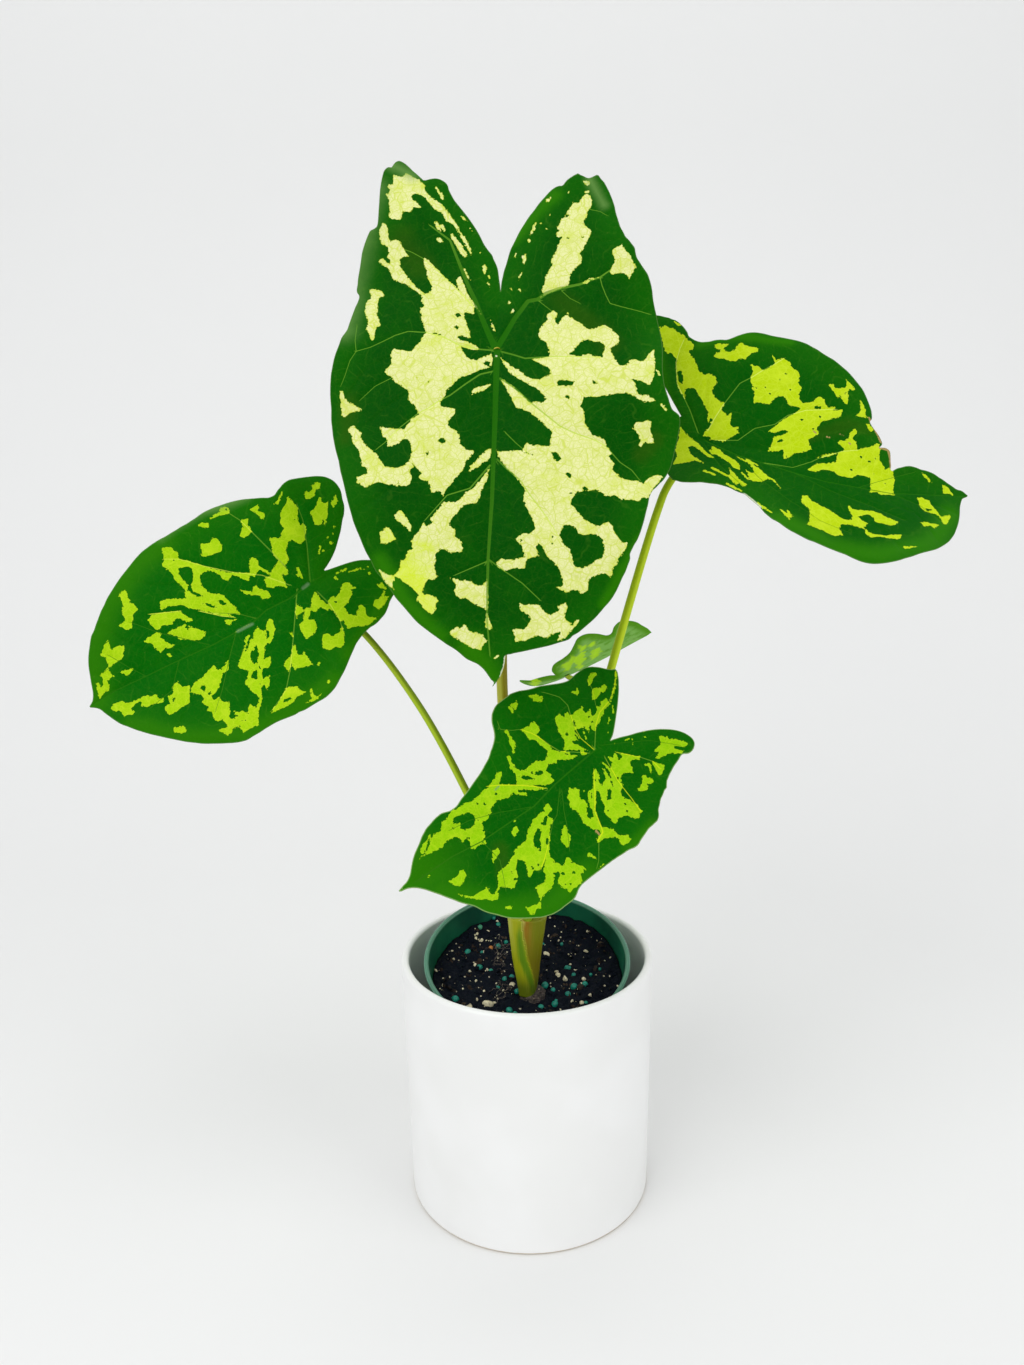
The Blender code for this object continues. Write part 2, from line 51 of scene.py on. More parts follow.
CAMERA_PLACE = (-5.14, -526.9, 402.75)
CAMERA_PITCH = 13.55  # degrees downwards
CAMERA_ROLL = -0.0176  # radians
SENSOR = 36.0
CAMERA_REACH = 20.0  # metres
LEVEL, DIP = math.cos(math.radians(CAMERA_PITCH)), math.sin(math.radians(CAMERA_PITCH))
TURN, SLIP = math.cos(CAMERA_ROLL), math.sin(CAMERA_ROLL)

camera = bpy.data.objects.new("camera", bpy.data.cameras.new("camera"))
camera.data.sensor_width = SENSOR
camera.data.lens = SENSOR * FOCAL_PIXELS / PHOTO_HEIGHT
camera.data.clip_end = CAMERA_REACH
camera.matrix_world = (
    Matrix.Translation(Vector(CAMERA_PLACE) * MM)
    @ Matrix.Rotation(math.radians(90.0 - CAMERA_PITCH), 4, "X")
    @ Matrix.Rotation(CAMERA_ROLL, 4, "Z")
)
bpy.context.scene.collection.objects.link(camera)
bpy.context.scene.camera = camera
bpy.context.scene.view_settings.view_transform = "Standard"


def photo_place(points):
    """Where points in millimetres fall in the photograph, in its pixels."""
    local = points - np.array(CAMERA_PLACE)
    depth = local[:, 1] * LEVEL - local[:, 2] * DIP
    right = FOCAL_PIXELS * local[:, 0] / depth
    down = -FOCAL_PIXELS * (local[:, 1] * DIP + local[:, 2] * LEVEL) / depth
    seen_right = PHOTO_WIDTH / 2 + TURN * right - SLIP * down
    seen_down = PHOTO_HEIGHT / 2 + SLIP * right + TURN * down
    return np.column_stack((seen_right, seen_down))


# Cachepot
# A slip-cast stoneware cylinder, glossy white glaze inside and out, with a rounded lip.
# The foot is wiped bare before firing, which leaves a thin beige line round its lower edge.
POT_HEIGHT = 132.0
POT_LIP_RADIUS = 65.0
POT_FOOT_RADIUS = 63.4
POT_WALL = 3.9
POT_FLOOR = 7.0
POT_FOOT_ROUND = 1.5
POT_FOOT_RING = 5.0  # how wide the ring is that it stands on
POT_RECESS = 0.6  # how far the foot's middle stands clear
POT_SIDE_START = 2.0
POT_FILLET = 5.0
POT_TAPER = 0.4
POT_TAPER_DEPTH = 110.0
POT_MIDDLE = 30.0
POT_STEPS = 180
GLAZE = (0.955, 0.955, 0.95)
GLAZE_SHADE = (0.94, 0.94, 0.932)
BISQUE = (0.86, 0.82, 0.75)
BISQUE_SHADE = (0.78, 0.72, 0.62)


def srgb(red, green, blue):
    """A colour as the eye names it, turned into the linear values that a shader takes."""
    parts = []
    for part in (red, green, blue):
        parts.append(part / 12.92 if part <= 0.04045 else ((part + 0.055) / 1.055) ** 2.4)
    return (*parts, 1.0)


class Wire:
    """A value in a material. Arithmetic on it adds Math nodes, and make adds any other node."""

    def __init__(self, tree, socket=None):
        self.tree, self.socket = tree, socket

    def make(self, kind, inputs=None, out=0, **settings):
        node = self.tree.nodes.new("ShaderNode" + kind)
        for name, value in settings.items():
            setattr(node, name, value)
        for key, value in (inputs or {}).items():
            self.plug(value, node.inputs[key])
        return Wire(self.tree, node.outputs[out])

    def plug(self, value, socket):
        if isinstance(value, Wire):
            self.tree.links.new(value.socket, socket)
        else:
            socket.default_value = value

    def math(self, operation, *values):
        return self.make("Math", dict(enumerate(values)), operation=operation)

    def __add__(self, other):
        return self.math("ADD", self, other)

    def __radd__(self, other):
        return self.math("ADD", other, self)

    def __sub__(self, other):
        return self.math("SUBTRACT", self, other)

    def __rsub__(self, other):
        return self.math("SUBTRACT", other, self)

    def __mul__(self, other):
        return self.math("MULTIPLY", self, other)

    def __rmul__(self, other):
        return self.math("MULTIPLY", other, self)

    def __truediv__(self, other):
        return self.math("DIVIDE", self, other)

    def __abs__(self):
        return self.math("ABSOLUTE", self)

    def fraction(self):
        return self.math("FRACT", self)

    def lower(self, other):
        return self.math("MINIMUM", self, other)

    def higher(self, other):
        return self.math("MAXIMUM", self, other)

    def rise(self, start, end):
        """0 before start and 1 after end, smoothly; start may be the larger."""
        inputs = {"Value": self, "From Min": start, "From Max": end}
        return self.make("MapRange", inputs, interpolation_type="SMOOTHSTEP")

    def tint(self, first, second):
        """The first colour where this is 0 and the second where it is 1."""
        tones = [srgb(*tone) if isinstance(tone, tuple) else tone for tone in (first, second)]
        return self.make("Mix", {0: self, 6: tones[0], 7: tones[1]}, out=2, data_type="RGBA")

    def noise(self, scale, detail=2.0, rough=0.5):
        inputs = {"Vector": self, "Scale": scale, "Detail": detail, "Roughness": rough}
        return self.make("TexNoise", inputs)

    def cells(self, scale, feature="F1", out=0):
        return self.make("TexVoronoi", {"Vector": self, "Scale": scale}, out=out, feature=feature)

    def part(self, index):
        return self.make("SeparateXYZ", {0: self}, out=index)

    def shifted(self, other):
        return self.make("VectorMath", {0: self, 1: other}, operation="ADD")

    def scaled(self, x, y, z):
        return self.make("VectorMath", {0: self, 1: (x, y, z)}, operation="MULTIPLY")

    def stored(self, name, out=1):
        """What the mesh stores under that name: out 1 is a vector and 2 a number."""
        return self.make("Attribute", out=out, attribute_name=name)

    def place(self):
        return self.make("TexCoord", out=3).scaled(1 / MM, 1 / MM, 1 / MM)

    def bump(self, strength, depth):
        return self.make("Bump", {"Height": self, "Strength": strength, "Distance": depth * MM})

    def surface(self, values):
        for name, value in values.items():
            self.plug(value, self.tree.nodes["Principled BSDF"].inputs[name])


def new_material(name):
    made = bpy.data.materials.new(name)
    made.use_nodes = True
    return made, Wire(made.node_tree)


def new_piece(name, points, faces, paint, smooth=True):
    """An object whose points are given in millimetres."""
    mesh = bpy.data.meshes.new(name)
    rows = faces.tolist() if isinstance(faces, np.ndarray) else faces
    mesh.from_pydata((np.asarray(points, float) * MM).tolist(), [], rows)
    mesh.polygons.foreach_set("use_smooth", [smooth] * len(mesh.polygons))
    mesh.materials.append(paint)
    made = bpy.data.objects.new(name, mesh)
    bpy.context.scene.collection.objects.link(made)
    return made


def arc(centre, radius, start, end, count):
    """Points (radius, height) along an arc, from one angle to the other."""
    angles = np.radians(np.linspace(start, end, count + 1))
    return [(centre[0] + radius * math.cos(a), centre[1] + radius * math.sin(a)) for a in angles]


def turned(profile, steps):
    """Points and faces of a profile (radius, height) turned about Z; it may end on the axis."""
    angles = math.tau * np.arange(steps) / steps
    points, rings, faces = [], [], []
    for radius, height in profile:
        if radius < 1e-6:
            rings.append([len(points)] * steps)
            points.append((0.0, 0.0, height))
        else:
            rings.append(list(range(len(points), len(points) + steps)))
            points += [(radius * math.cos(a), radius * math.sin(a), height) for a in angles]
    for first, second in zip(rings, rings[1:]):
        for step in range(steps):
            after = (step + 1) % steps
            face = (first[step], second[step], second[after], first[after])
            faces.append(tuple(dict.fromkeys(face)))
    return np.array(points), faces


lip = POT_WALL / 2
inner = POT_LIP_RADIUS - POT_WALL
side_height = POT_HEIGHT - lip - POT_SIDE_START
fillet_centre = (inner - POT_TAPER - POT_FILLET, POT_FLOOR + POT_FILLET)
profile = [(0.0, POT_FLOOR), (POT_MIDDLE, POT_FLOOR)]
profile += arc(fillet_centre, POT_FILLET, -90.0, 0.0, 8)
for share in (0.75, 0.5, 0.25, 0.05):
    profile.append((inner - POT_TAPER * share, POT_HEIGHT - lip - POT_TAPER_DEPTH * share))
profile += arc((POT_LIP_RADIUS - lip, POT_HEIGHT - lip), lip, 180.0, 0.0, 16)
for share in (0.98, 0.75, 0.5, 0.25, 0.02, 0.0):
    radius = POT_FOOT_RADIUS + (POT_LIP_RADIUS - POT_FOOT_RADIUS) * share
    profile.append((radius, POT_SIDE_START + side_height * share))
foot_centre = (POT_FOOT_RADIUS - POT_FOOT_ROUND, POT_FOOT_ROUND)
profile += arc(foot_centre, POT_FOOT_ROUND, 0.0, -90.0, 5)
ring_radius = POT_FOOT_RADIUS - POT_FOOT_RING
profile += [(ring_radius + 1.0, 0.0), (ring_radius, POT_RECESS)]
profile += [(POT_MIDDLE, POT_RECESS), (0.0, POT_RECESS)]

glaze, wire = new_material("glazed white stoneware")
place = wire.place()
height = place.part(2)
cloud = place.noise(0.02, 2.0)
bare = (height + place.noise(0.35, 2.0) * 0.5).rise(1.6, 1.1)
white = cloud.rise(0.35, 0.65).tint(GLAZE, GLAZE_SHADE)
grain = place.noise(2.4, 3.0)
wire.surface(
    {
        "Base Color": bare.tint(white, grain.tint(BISQUE, BISQUE_SHADE)),
        "Roughness": bare * 0.5 + 0.34 + cloud * 0.05,
        "Normal": (grain * 0.25 + grain * bare * 0.4).bump(0.06, 0.1),
        "Specular IOR Level": 0.3,
        "Coat Weight": 0.15 - bare * 0.15,
        "Coat Roughness": 0.2,
    }
)
cachepot = new_piece("glazed_cachepot", *turned(profile[::-1], POT_STEPS), glaze)
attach(cachepot, "root")
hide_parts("cachepot")

# Nursery pot
# A thin dark green pot, injection moulded in polypropylene, that leans a little inside the
# cachepot. Its rolled rim is worn paler, and faint mould rings run round the wall.
NURSERY_TILT = 13.7  # degrees
NURSERY_RIM_CENTRE = (0.0, -9.2, 133.9)
NURSERY_HEIGHT = 120.0
NURSERY_RIM_RADIUS = 52.8
NURSERY_MOUTH_RADIUS = 50.4
NURSERY_BASE_RADIUS = 42.4
NURSERY_WALL = 1.4
NURSERY_ROLL = 1.1
NURSERY_COLLAR = 9.0
NURSERY_STEPS = 160
MOULD_RINGS = 24
MOULD_RING_HEIGHT = 0.08
FLOOR_RING = 30.0  # the floor inside this radius holds the drain holes
DRAIN_COUNT = 6
DRAIN_RADIUS = 3.6
DRAIN_CIRCLE = 24.18
DRAIN_STEPS = 24
PLASTIC = (0.09, 0.42, 0.30)
PLASTIC_DARK = (0.05, 0.30, 0.22)
PLASTIC_WORN = (0.42, 0.62, 0.52)

nursery_turn = np.array(Matrix.Rotation(math.radians(NURSERY_TILT), 3, "X"))


def in_nursery(points):
    """The nursery pot's own points, from its rim's centre and along its axis, put in place."""
    return np.asarray(points, float) @ nursery_turn.T + np.array(NURSERY_RIM_CENTRE)


def nursery_inner_radius(depth):
    narrowing = NURSERY_BASE_RADIUS - NURSERY_WALL - NURSERY_MOUTH_RADIUS
    return NURSERY_MOUTH_RADIUS + narrowing * (depth / NURSERY_HEIGHT)


def nursery_profile():
    floor = -NURSERY_HEIGHT + NURSERY_WALL
    roll = NURSERY_ROLL
    made = [(FLOOR_RING, floor), (nursery_inner_radius(-floor) - 1.0, floor)]
    depths = np.linspace(NURSERY_HEIGHT - 4.0, NURSERY_COLLAR, MOULD_RINGS)
    for depth in depths:
        ridge = MOULD_RING_HEIGHT * math.cos(depth * 1.1)
        made.append((nursery_inner_radius(depth) + ridge, -depth))
    made.append((NURSERY_MOUTH_RADIUS, -2.0))
    made += arc((NURSERY_MOUTH_RADIUS + roll, -roll), roll, 180.0, 90.0, 6)
    made += arc((NURSERY_RIM_RADIUS - roll, -roll), roll, 90.0, -60.0, 8)
    made.append((NURSERY_MOUTH_RADIUS + NURSERY_WALL, -3.0 * roll))
    made += [(nursery_inner_radius(depth) + NURSERY_WALL, -depth) for depth in depths[::-1]]
    made.append((NURSERY_BASE_RADIUS, -NURSERY_HEIGHT + 1.0))
    made += [(NURSERY_BASE_RADIUS - 1.0, -NURSERY_HEIGHT), (FLOOR_RING, -NURSERY_HEIGHT)]
    return made


def circle(radius, steps, shift=0.0):
    """Points evenly round a circle, the first one turned on by that share of a step."""
    turns = [math.tau * (step + shift) / steps for step in range(steps)]
    return [(radius * math.cos(turn), radius * math.sin(turn)) for turn in turns]


def store(piece, name, values):
    """Keeps a number or a vector for each point of a mesh, for its material to read."""
    values = np.asarray(values, np.float32)
    kind = "FLOAT" if values.ndim == 1 else "FLOAT_VECTOR"
    kept = piece.data.attributes.new(name, kind, "POINT")
    kept.data.foreach_set("value" if values.ndim == 1 else "vector", values.ravel())


plastic, wire = new_material("moulded green plastic")
place = wire.place()
depth = wire.stored("pot").part(2)
worn = depth.rise(-1.9, -0.7) * (1.0 - 0.55 * abs(depth + 0.12).rise(0.22, 0.05))
scuff = place.scaled(1.0, 1.0, 0.25).noise(0.9, 4.0, 0.6)
body = place.noise(0.05, 2.0).rise(0.3, 0.7).tint(PLASTIC_DARK, PLASTIC)
wire.surface(
    {
        "Base Color": (worn * (0.5 + scuff * 0.5)).tint(body, PLASTIC_WORN),
        "Roughness": 0.34 + scuff * 0.16,
        "Normal": (scuff + place.noise(4.0, 2.0) * 0.4).bump(0.2, 0.12),
    }
)
pot_points, pot_faces = turned(nursery_profile()[::-1], NURSERY_STEPS)
nursery_pot = new_piece("green_nursery_pot", in_nursery(pot_points), pot_faces, plastic)
store(nursery_pot, "pot", pot_points)

floor_loops = [circle(FLOOR_RING, NURSERY_STEPS)]
drain_centres = circle(DRAIN_CIRCLE, DRAIN_COUNT, 0.5)
for x, y in drain_centres:
    drain = circle(DRAIN_RADIUS, DRAIN_STEPS)
    floor_loops.append([(x + right, y + back) for right, back in drain])
edges, start = [], 0
for loop in floor_loops:
    edges += [(start + step, start + (step + 1) % len(loop)) for step in range(len(loop))]
    start += len(loop)
corners = [Vector(point) for loop in floor_loops for point in loop]
cut_points, _, cut_faces, *_ = delaunay_2d_cdt(corners, edges, [], 3, 1e-6)
count = len(cut_points)


def in_drain(face):
    middle = np.mean([cut_points[corner][:] for corner in face], axis=0)
    return any(math.dist(middle, centre) < DRAIN_RADIUS * 0.99 for centre in drain_centres)


floor_faces = [tuple(face) for face in cut_faces if not in_drain(face)]
floor_faces += [tuple(corner + count for corner in face[::-1]) for face in floor_faces]
for start in range(NURSERY_STEPS, count, DRAIN_STEPS):
    for step in range(DRAIN_STEPS):
        here, after = start + step, start + (step + 1) % DRAIN_STEPS
        floor_faces.append((here, after, after + count, here + count))
floor_heights = (NURSERY_WALL - NURSERY_HEIGHT, -NURSERY_HEIGHT)
floor_points = [(point.x, point.y, height) for height in floor_heights for point in cut_points]
placed = in_nursery(floor_points)
pot_floor = new_piece("nursery_pot_floor", placed, floor_faces, plastic, smooth=False)
store(pot_floor, "pot", floor_points)
for piece in (nursery_pot, pot_floor):
    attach(piece, "root")
    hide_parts("nursery_pot")

# Soil
# A peat and bark potting mix, nearly black and moist, heaped a little unevenly. Teal slow-release
# prills, an orange one, and pale crumbs of perlite lie half sunk in it, among loose crumbs.
SOIL_DEPTH = 15.4  # below the nursery pot's rim
SOIL_LUMP = 0.65
SOIL_SPACING = 0.85
SOIL_GAP = 0.4  # all round, between the soil and the wall
SOIL_FOOT_GAP = 1.3
SOIL_CRUMBS = 900
CORM_CENTRE = (1.6, -14.2, 113.6)
CORM_RADIUS = 7.8
CORM_HEIGHT = 6.0
BEAD_SINK = 0.35
# Read off the photograph: pixel across, pixel down, and width in pixels.
PRILLS = """
498,923,5.5 506,941,4.5 498,945,5.5 468,951,7 480,966,6.5 455,998,8.5 505,978,6 512,976,6
517,990,6 509,1009,7.5 515,1013,6 541,1006,6.5 555,1003,7.5 545,984,7.5 574,985,7.5 568,993,6.5
567,967,6 562,943,4.5 586,1002,5 585,983,6.5 494,917,4.5 600,968,3.5
"""
ORANGE_PRILL = "491,947,5.5"
PALE_PRILL = "480,926,5.5"
PERLITE = """
489,1003,11 469,1007,10 512,984,8.5 546,953,6 558,975,6.5 565,977,6.5 584,978,5 586,950,5.5
477,932,4.5 488,930,3.5 482,939,4.5 476,937,3.5 475,964,4.5 436,969,3.5 470,970,3.5 588,930,3.5
586,964,3 550,980,4.5 590,994,4.5 572,1000,3.5 582,1002,4.5 575,1008,4.5 489,976,3.5 476,980,3.5
484,990,3 477,998,4 618,985,3.5 499,934,3.5 556,971,4 549,935,3 577,969,2.5 497,920,3 494,1002,4
530,961,3 598,945,2.5 452,950,2.5 462,985,2.5 445,978,2.5 605,960,2.5 610,975,2.5 520,1008,3
536,1010,3 560,1009,3.5
"""
FIBRES = "502,944 500,958 503,966 501,988 504,992 497,951"  # tangles of dead roots
MORE_PRILLS = 14
MORE_PERLITE = 230
PEAT = (0.0, 0.03, 0.085)
PEAT_BROWN = (0.085, 0.085, 0.11)
BARK = (0.16, 0.11, 0.08)
BARK_PALE = (0.30, 0.25, 0.20)
TEAL = (0.0, 0.44, 0.38)
TEAL_LIT = (0.0, 0.53, 0.45)
PALE_TEAL = (0.30, 0.66, 0.50)
ORANGE = (0.80, 0.50, 0.18)
CHALK = (0.92, 0.88, 0.74)
CHALK_SHADE = (0.72, 0.66, 0.54)
GRIT = (0.52, 0.47, 0.42)
ROOT = (0.46, 0.42, 0.38)
ROOT_DARK = (0.24, 0.21, 0.19)
ROOTS_TO_A_TANGLE = 7
ROOT_STEPS = 14
draw = random.Random(7)


def soil_height(right, back):
    """The soil's face above its mean depth: rippled, and drawn up to the wall at the back."""
    ripple = np.sin(0.31 * right + 0.9) * np.cos(0.27 * back - 0.4)
    ripple = ripple + 0.6 * np.sin(0.63 * right - 0.35 * back + 2.0)
    ripple = ripple + 0.4 * np.sin(0.9 * back + 0.5 * right)
    bearing = np.degrees(np.arctan2(back, right))
    climb = 1.2 * (1.0 + np.sin(np.radians(bearing)))
    climb = climb + 3.4 * np.exp(-(((bearing - 42.0) / 34.0) ** 2))
    return SOIL_LUMP * ripple + climb * np.clip(np.hypot(right, back) / 47.0, 0.0, 1.0) ** 4


def grainy(right, back, size, seed):
    """Random heights that change smoothly over about that size, between -1 and 1."""
    table = np.random.default_rng(seed).uniform(-1.0, 1.0, (97, 97))
    x, y = right / size + 500.0, back / size + 500.0
    low_x, low_y = np.floor(x).astype(int), np.floor(y).astype(int)
    share_x, share_y = x - low_x, y - low_y
    share_x, share_y = share_x**2 * (3 - 2 * share_x), share_y**2 * (3 - 2 * share_y)
    corner = [[table[(low_x + i) % 97, (low_y + j) % 97] for j in (0, 1)] for i in (0, 1)]
    front = corner[0][0] * (1 - share_x) + corner[1][0] * share_x
    rear = corner[0][1] * (1 - share_x) + corner[1][1] * share_x
    return front * (1 - share_y) + rear * share_y


def round_mesh(detail):
    """Unit points and faces of a ball made of even triangles."""
    made = bmesh.new()
    bmesh.ops.create_icosphere(made, subdivisions=detail, radius=1.0)
    points = np.array([vert.co for vert in made.verts])
    faces = np.array([[vert.index for vert in face.verts] for face in made.faces])
    made.free()
    return points, faces


def lump(seed, detail, uneven):
    """Unit points and faces of an uneven ball."""
    points, faces = round_mesh(detail)
    wobble = np.random.default_rng(seed)
    waves = wobble.normal(0.0, 1.6, (4, 3))
    shifts = wobble.uniform(0.0, math.tau, 4)
    swell = 1.0 + uneven * np.sin(points @ waves.T + shifts).sum(axis=1)
    return points * swell[:, None], faces


soil_radius = nursery_inner_radius(SOIL_DEPTH) - SOIL_GAP
rings = int(soil_radius / SOIL_SPACING)
top = [(0.0, 0.0)]
for ring in range(1, rings + 1):
    top += circle(soil_radius * ring / rings, 6 * ring, 0.5 * (ring % 2))
_, _, top_faces, *_ = delaunay_2d_cdt([Vector(point) for point in top], [], [], 0, 1e-6)
right, back = np.array(top).T
rough = 0.55 * grainy(right, back, 3.1, 1) + 0.5 * grainy(right, back, 1.5, 2)
rough = rough + 0.3 * grainy(right, back, 0.8, 3)
settled = np.clip((soil_radius - np.hypot(right, back)) / 3.0, 0.0, 1.0)
corm_flat = (np.array(CORM_CENTRE) - np.array(NURSERY_RIM_CENTRE)) @ nursery_turn
from_corm = np.hypot(right - corm_flat[0], back - corm_flat[1])
dip = -0.8 * np.exp(-((np.maximum(from_corm - CORM_RADIUS, 0.0) / 2.0) ** 2))
heights = soil_height(right, back) - SOIL_DEPTH + rough * (0.4 + 0.6 * settled) + dip
top_points = np.column_stack((right, back, heights))
rim_steps = 6 * rings
rim_start = len(top) - rim_steps
foot_depth = NURSERY_HEIGHT - NURSERY_WALL - SOIL_FOOT_GAP
foot = top_points[rim_start:].copy()
foot[:, :2] *= (nursery_inner_radius(foot_depth) - SOIL_GAP) / soil_radius
foot[:, 2] = -foot_depth
soil_faces = [tuple(face) for face in top_faces]
for step in range(rim_steps):
    after = (step + 1) % rim_steps
    soil_faces.append((rim_start + step, len(top) + step, len(top) + after, rim_start + after))
soil_faces.append(tuple(range(len(top) + rim_steps - 1, len(top) - 1, -1)))

peat, wire = new_material("moist potting mix")
place = wire.place()
tone = place.noise(0.45, 5.0, 0.65)
fleck = place.cells(1.1, out=1).part(0)
wire.surface(
    {
        "Base Color": (tone.rise(0.45, 0.75) * (fleck * 0.5 + 0.5)).tint(PEAT, PEAT_BROWN),
        "Roughness": 0.75 + tone * 0.2,
        "Normal": (place.noise(1.6, 4.0, 0.65) + place.cells(0.9) * 0.5).bump(0.7, 0.8),
        "Specular IOR Level": 0.18,
    }
)
soil = new_piece("potting_mix", in_nursery(np.vstack((top_points, foot))), soil_faces, peat)


def soil_spots(text):
    """Places on the soil (right, back, radius) of spots given in pixels of the photograph."""
    start = (np.array(CAMERA_PLACE) - np.array(NURSERY_RIM_CENTRE)) @ nursery_turn
    found = []
    for spot in text.split():
        x, y, *width = (float(part) for part in spot.split(","))
        x, y = x - PHOTO_WIDTH / 2, y - PHOTO_HEIGHT / 2
        across, up = (TURN * x + SLIP * y) / FOCAL_PIXELS, (SLIP * x - TURN * y) / FOCAL_PIXELS
        ray = np.array((across, LEVEL + up * DIP, up * LEVEL - DIP)) @ nursery_turn
        height = 0.0
        for _ in range(4):
            depth = (0.6 + height - SOIL_DEPTH - start[2]) / ray[2]
            right, back = (start + depth * ray)[:2]
            height = float(soil_height(right, back))
        found.append((right, back, (width[0] if width else 2.0) / 2 * depth / FOCAL_PIXELS))
    return found


def on_soil(right, back, lift):
    height = -SOIL_DEPTH + soil_height(np.float64(right), np.float64(back)) + lift
    return np.array((right, back, float(height)))


def scatter(name, places, paint, detail, squash, uneven=0.16, smooth=True):
    """One mesh of many small lumps on the soil, from (right, back, radius)."""
    points, faces, total = [], [], 0
    for right, back, radius in places:
        shape, shape_faces = lump(draw.randrange(10**6), detail, uneven)
        angle = draw.uniform(0.0, math.tau)
        axis = (draw.random(), draw.random(), draw.random() + 0.1)
        turn = np.array(Matrix.Rotation(angle, 3, axis))
        sizes = np.array((1.0, draw.uniform(*squash), draw.uniform(*squash))) * radius
        points.append((shape * sizes) @ turn.T + on_soil(right, back, -BEAD_SINK * radius * 0.6))
        faces.append(shape_faces + total)
        total += len(shape)
    return new_piece(name, in_nursery(np.vstack(points)), np.vstack(faces), paint, smooth)


def scattered(count, low, high, power=1.0, reach=1.5):
    """Random (right, back, radius) on the soil, clear of the corm."""
    found = []
    while len(found) < count:
        right, back = (draw.uniform(-soil_radius, soil_radius) for _ in range(2))
        radius = low + (high - low) * draw.random() ** power
        clear = math.hypot(right - corm_flat[0], back - corm_flat[1]) > CORM_RADIUS + 1.0
        if clear and math.hypot(right, back) < soil_radius - reach - radius:
            found.append((right, back, radius))
    return found


crumb_paint, wire = new_material("bark and peat crumbs")
place = wire.place()
kind = place.scaled(0.25, 0.25, 0.25).cells(1.0, out=1)
brown = kind.part(0).rise(0.72, 0.9)
wire.surface(
    {
        "Base Color": (brown * 0.9).tint(PEAT, kind.part(1).tint(BARK, BARK_PALE)),
        "Roughness": 0.72 + place.noise(1.2) * 0.25,
        "Normal": place.noise(2.0, 3.0).bump(0.6, 0.5),
        "Specular IOR Level": 0.18,
    }
)
crumb_places = scattered(SOIL_CRUMBS, 0.5, 2.3, 2.2)
crumbs = scatter("peat_crumbs", crumb_places, crumb_paint, 1, (0.45, 1.0), smooth=False)


def two_toned(name, first, second, scale, detail, rough, relief, spread=(0.0, 1.0)):
    """A paint that wavers between two colours; relief is a noise's scale, height and depth."""
    made, wire = new_material(name)
    place = wire.place()
    shade = place.noise(scale, detail)
    wire.surface(
        {
            "Base Color": shade.rise(*spread).tint(first, second),
            "Roughness": shade * 0.2 + rough,
            "Normal": place.noise(relief[0], 2.0).bump(*relief[1:]),
        }
    )
    return made


BEAD_SKIN = (1.5, 0.15, 0.3)
TEAL_MIX = (TEAL, TEAL_LIT, 0.8, 2.0)
BEAD_SHAPE = (3, (0.94, 1.0), 0.03)
prill_paint = two_toned("coated fertiliser prills", *TEAL_MIX, 0.35, BEAD_SKIN, (0.3, 0.7))
prill_places = soil_spots(PRILLS) + scattered(MORE_PRILLS, 0.8, 1.5)
prills = scatter("teal_prills", prill_places, prill_paint, *BEAD_SHAPE)
odd_prills = []
for name, colour, spot in (("orange", ORANGE, ORANGE_PRILL), ("pale", PALE_TEAL, PALE_PRILL)):
    darker = tuple(part * 0.75 for part in colour)
    paint = two_toned(name + " prill", colour, darker, 0.9, 2.0, 0.4, BEAD_SKIN)
    odd_prills.append(scatter(name + "_prill", soil_spots(spot), paint, *BEAD_SHAPE))

chalk, wire = new_material("perlite and pale grit")
place = wire.place()
shade = place.noise(0.7, 3.0)
grain = place.cells(0.35, out=1).part(0)
white = shade.rise(0.4, 0.8).tint(CHALK, CHALK_SHADE)
wire.surface(
    {
        "Base Color": (grain.rise(0.3, 1.0) * 0.45).tint(white, GRIT),
        "Roughness": 0.8 + shade * 0.15,
        "Normal": (place.noise(1.8, 3.0) + place.cells(1.2)).bump(0.6, 0.5),
    }
)
perlite_places = soil_spots(PERLITE) + scattered(MORE_PERLITE, 0.22, 0.8, 1.8)
perlite = scatter("perlite_grit", perlite_places, chalk, 2, (0.6, 1.0))


def smooth_path(points, count):
    """Points evenly spaced by way point along a Catmull-Rom curve through the given ones."""
    knots = np.asarray(points, float)
    knots = np.vstack((2 * knots[0] - knots[1], knots, 2 * knots[-1] - knots[-2]))
    places = np.minimum(np.linspace(0.0, len(knots) - 3, count + 1), len(knots) - 3 - 1e-9)
    spans = places.astype(int)
    share = (places - spans)[:, None]
    before, start, end, after = (knots[spans + step] for step in range(4))
    return 0.5 * (
        2 * start
        + (end - before) * share
        + (2 * before - 5 * start + 4 * end - after) * share**2
        + (3 * start - before - 3 * end + after) * share**3
    )


def tube(path, radii, sides, end_direction=None):
    """Points and faces of a closed tube; radii holds the radii of each ring, one or one a side."""
    across = np.array((1.0, 0.0, 0.0))
    points = []
    angles = math.tau * np.arange(sides) / sides
    for index, centre in enumerate(path):
        ahead = path[min(index + 1, len(path) - 1)] - path[max(index - 1, 0)]
        if index == len(path) - 1 and end_direction is not None:
            ahead = np.asarray(end_direction)
        ahead = ahead / np.linalg.norm(ahead)
        across = across - ahead * (across @ ahead)
        across = across / np.linalg.norm(across)
        other = np.cross(ahead, across)
        ring = np.cos(angles)[:, None] * across + np.sin(angles)[:, None] * other
        points.append(centre + ring * np.asarray(radii[index]).reshape(-1, 1))
    faces = []
    for ring in range(len(path) - 1):
        for side in range(sides):
            after = (side + 1) % sides
            low, high = ring * sides, (ring + 1) * sides
            faces.append((low + side, low + after, high + after, high + side))
    faces.append(tuple(range(sides - 1, -1, -1)))
    faces.append(tuple(range((len(path) - 1) * sides, len(path) * sides)))
    return np.vstack(points), faces


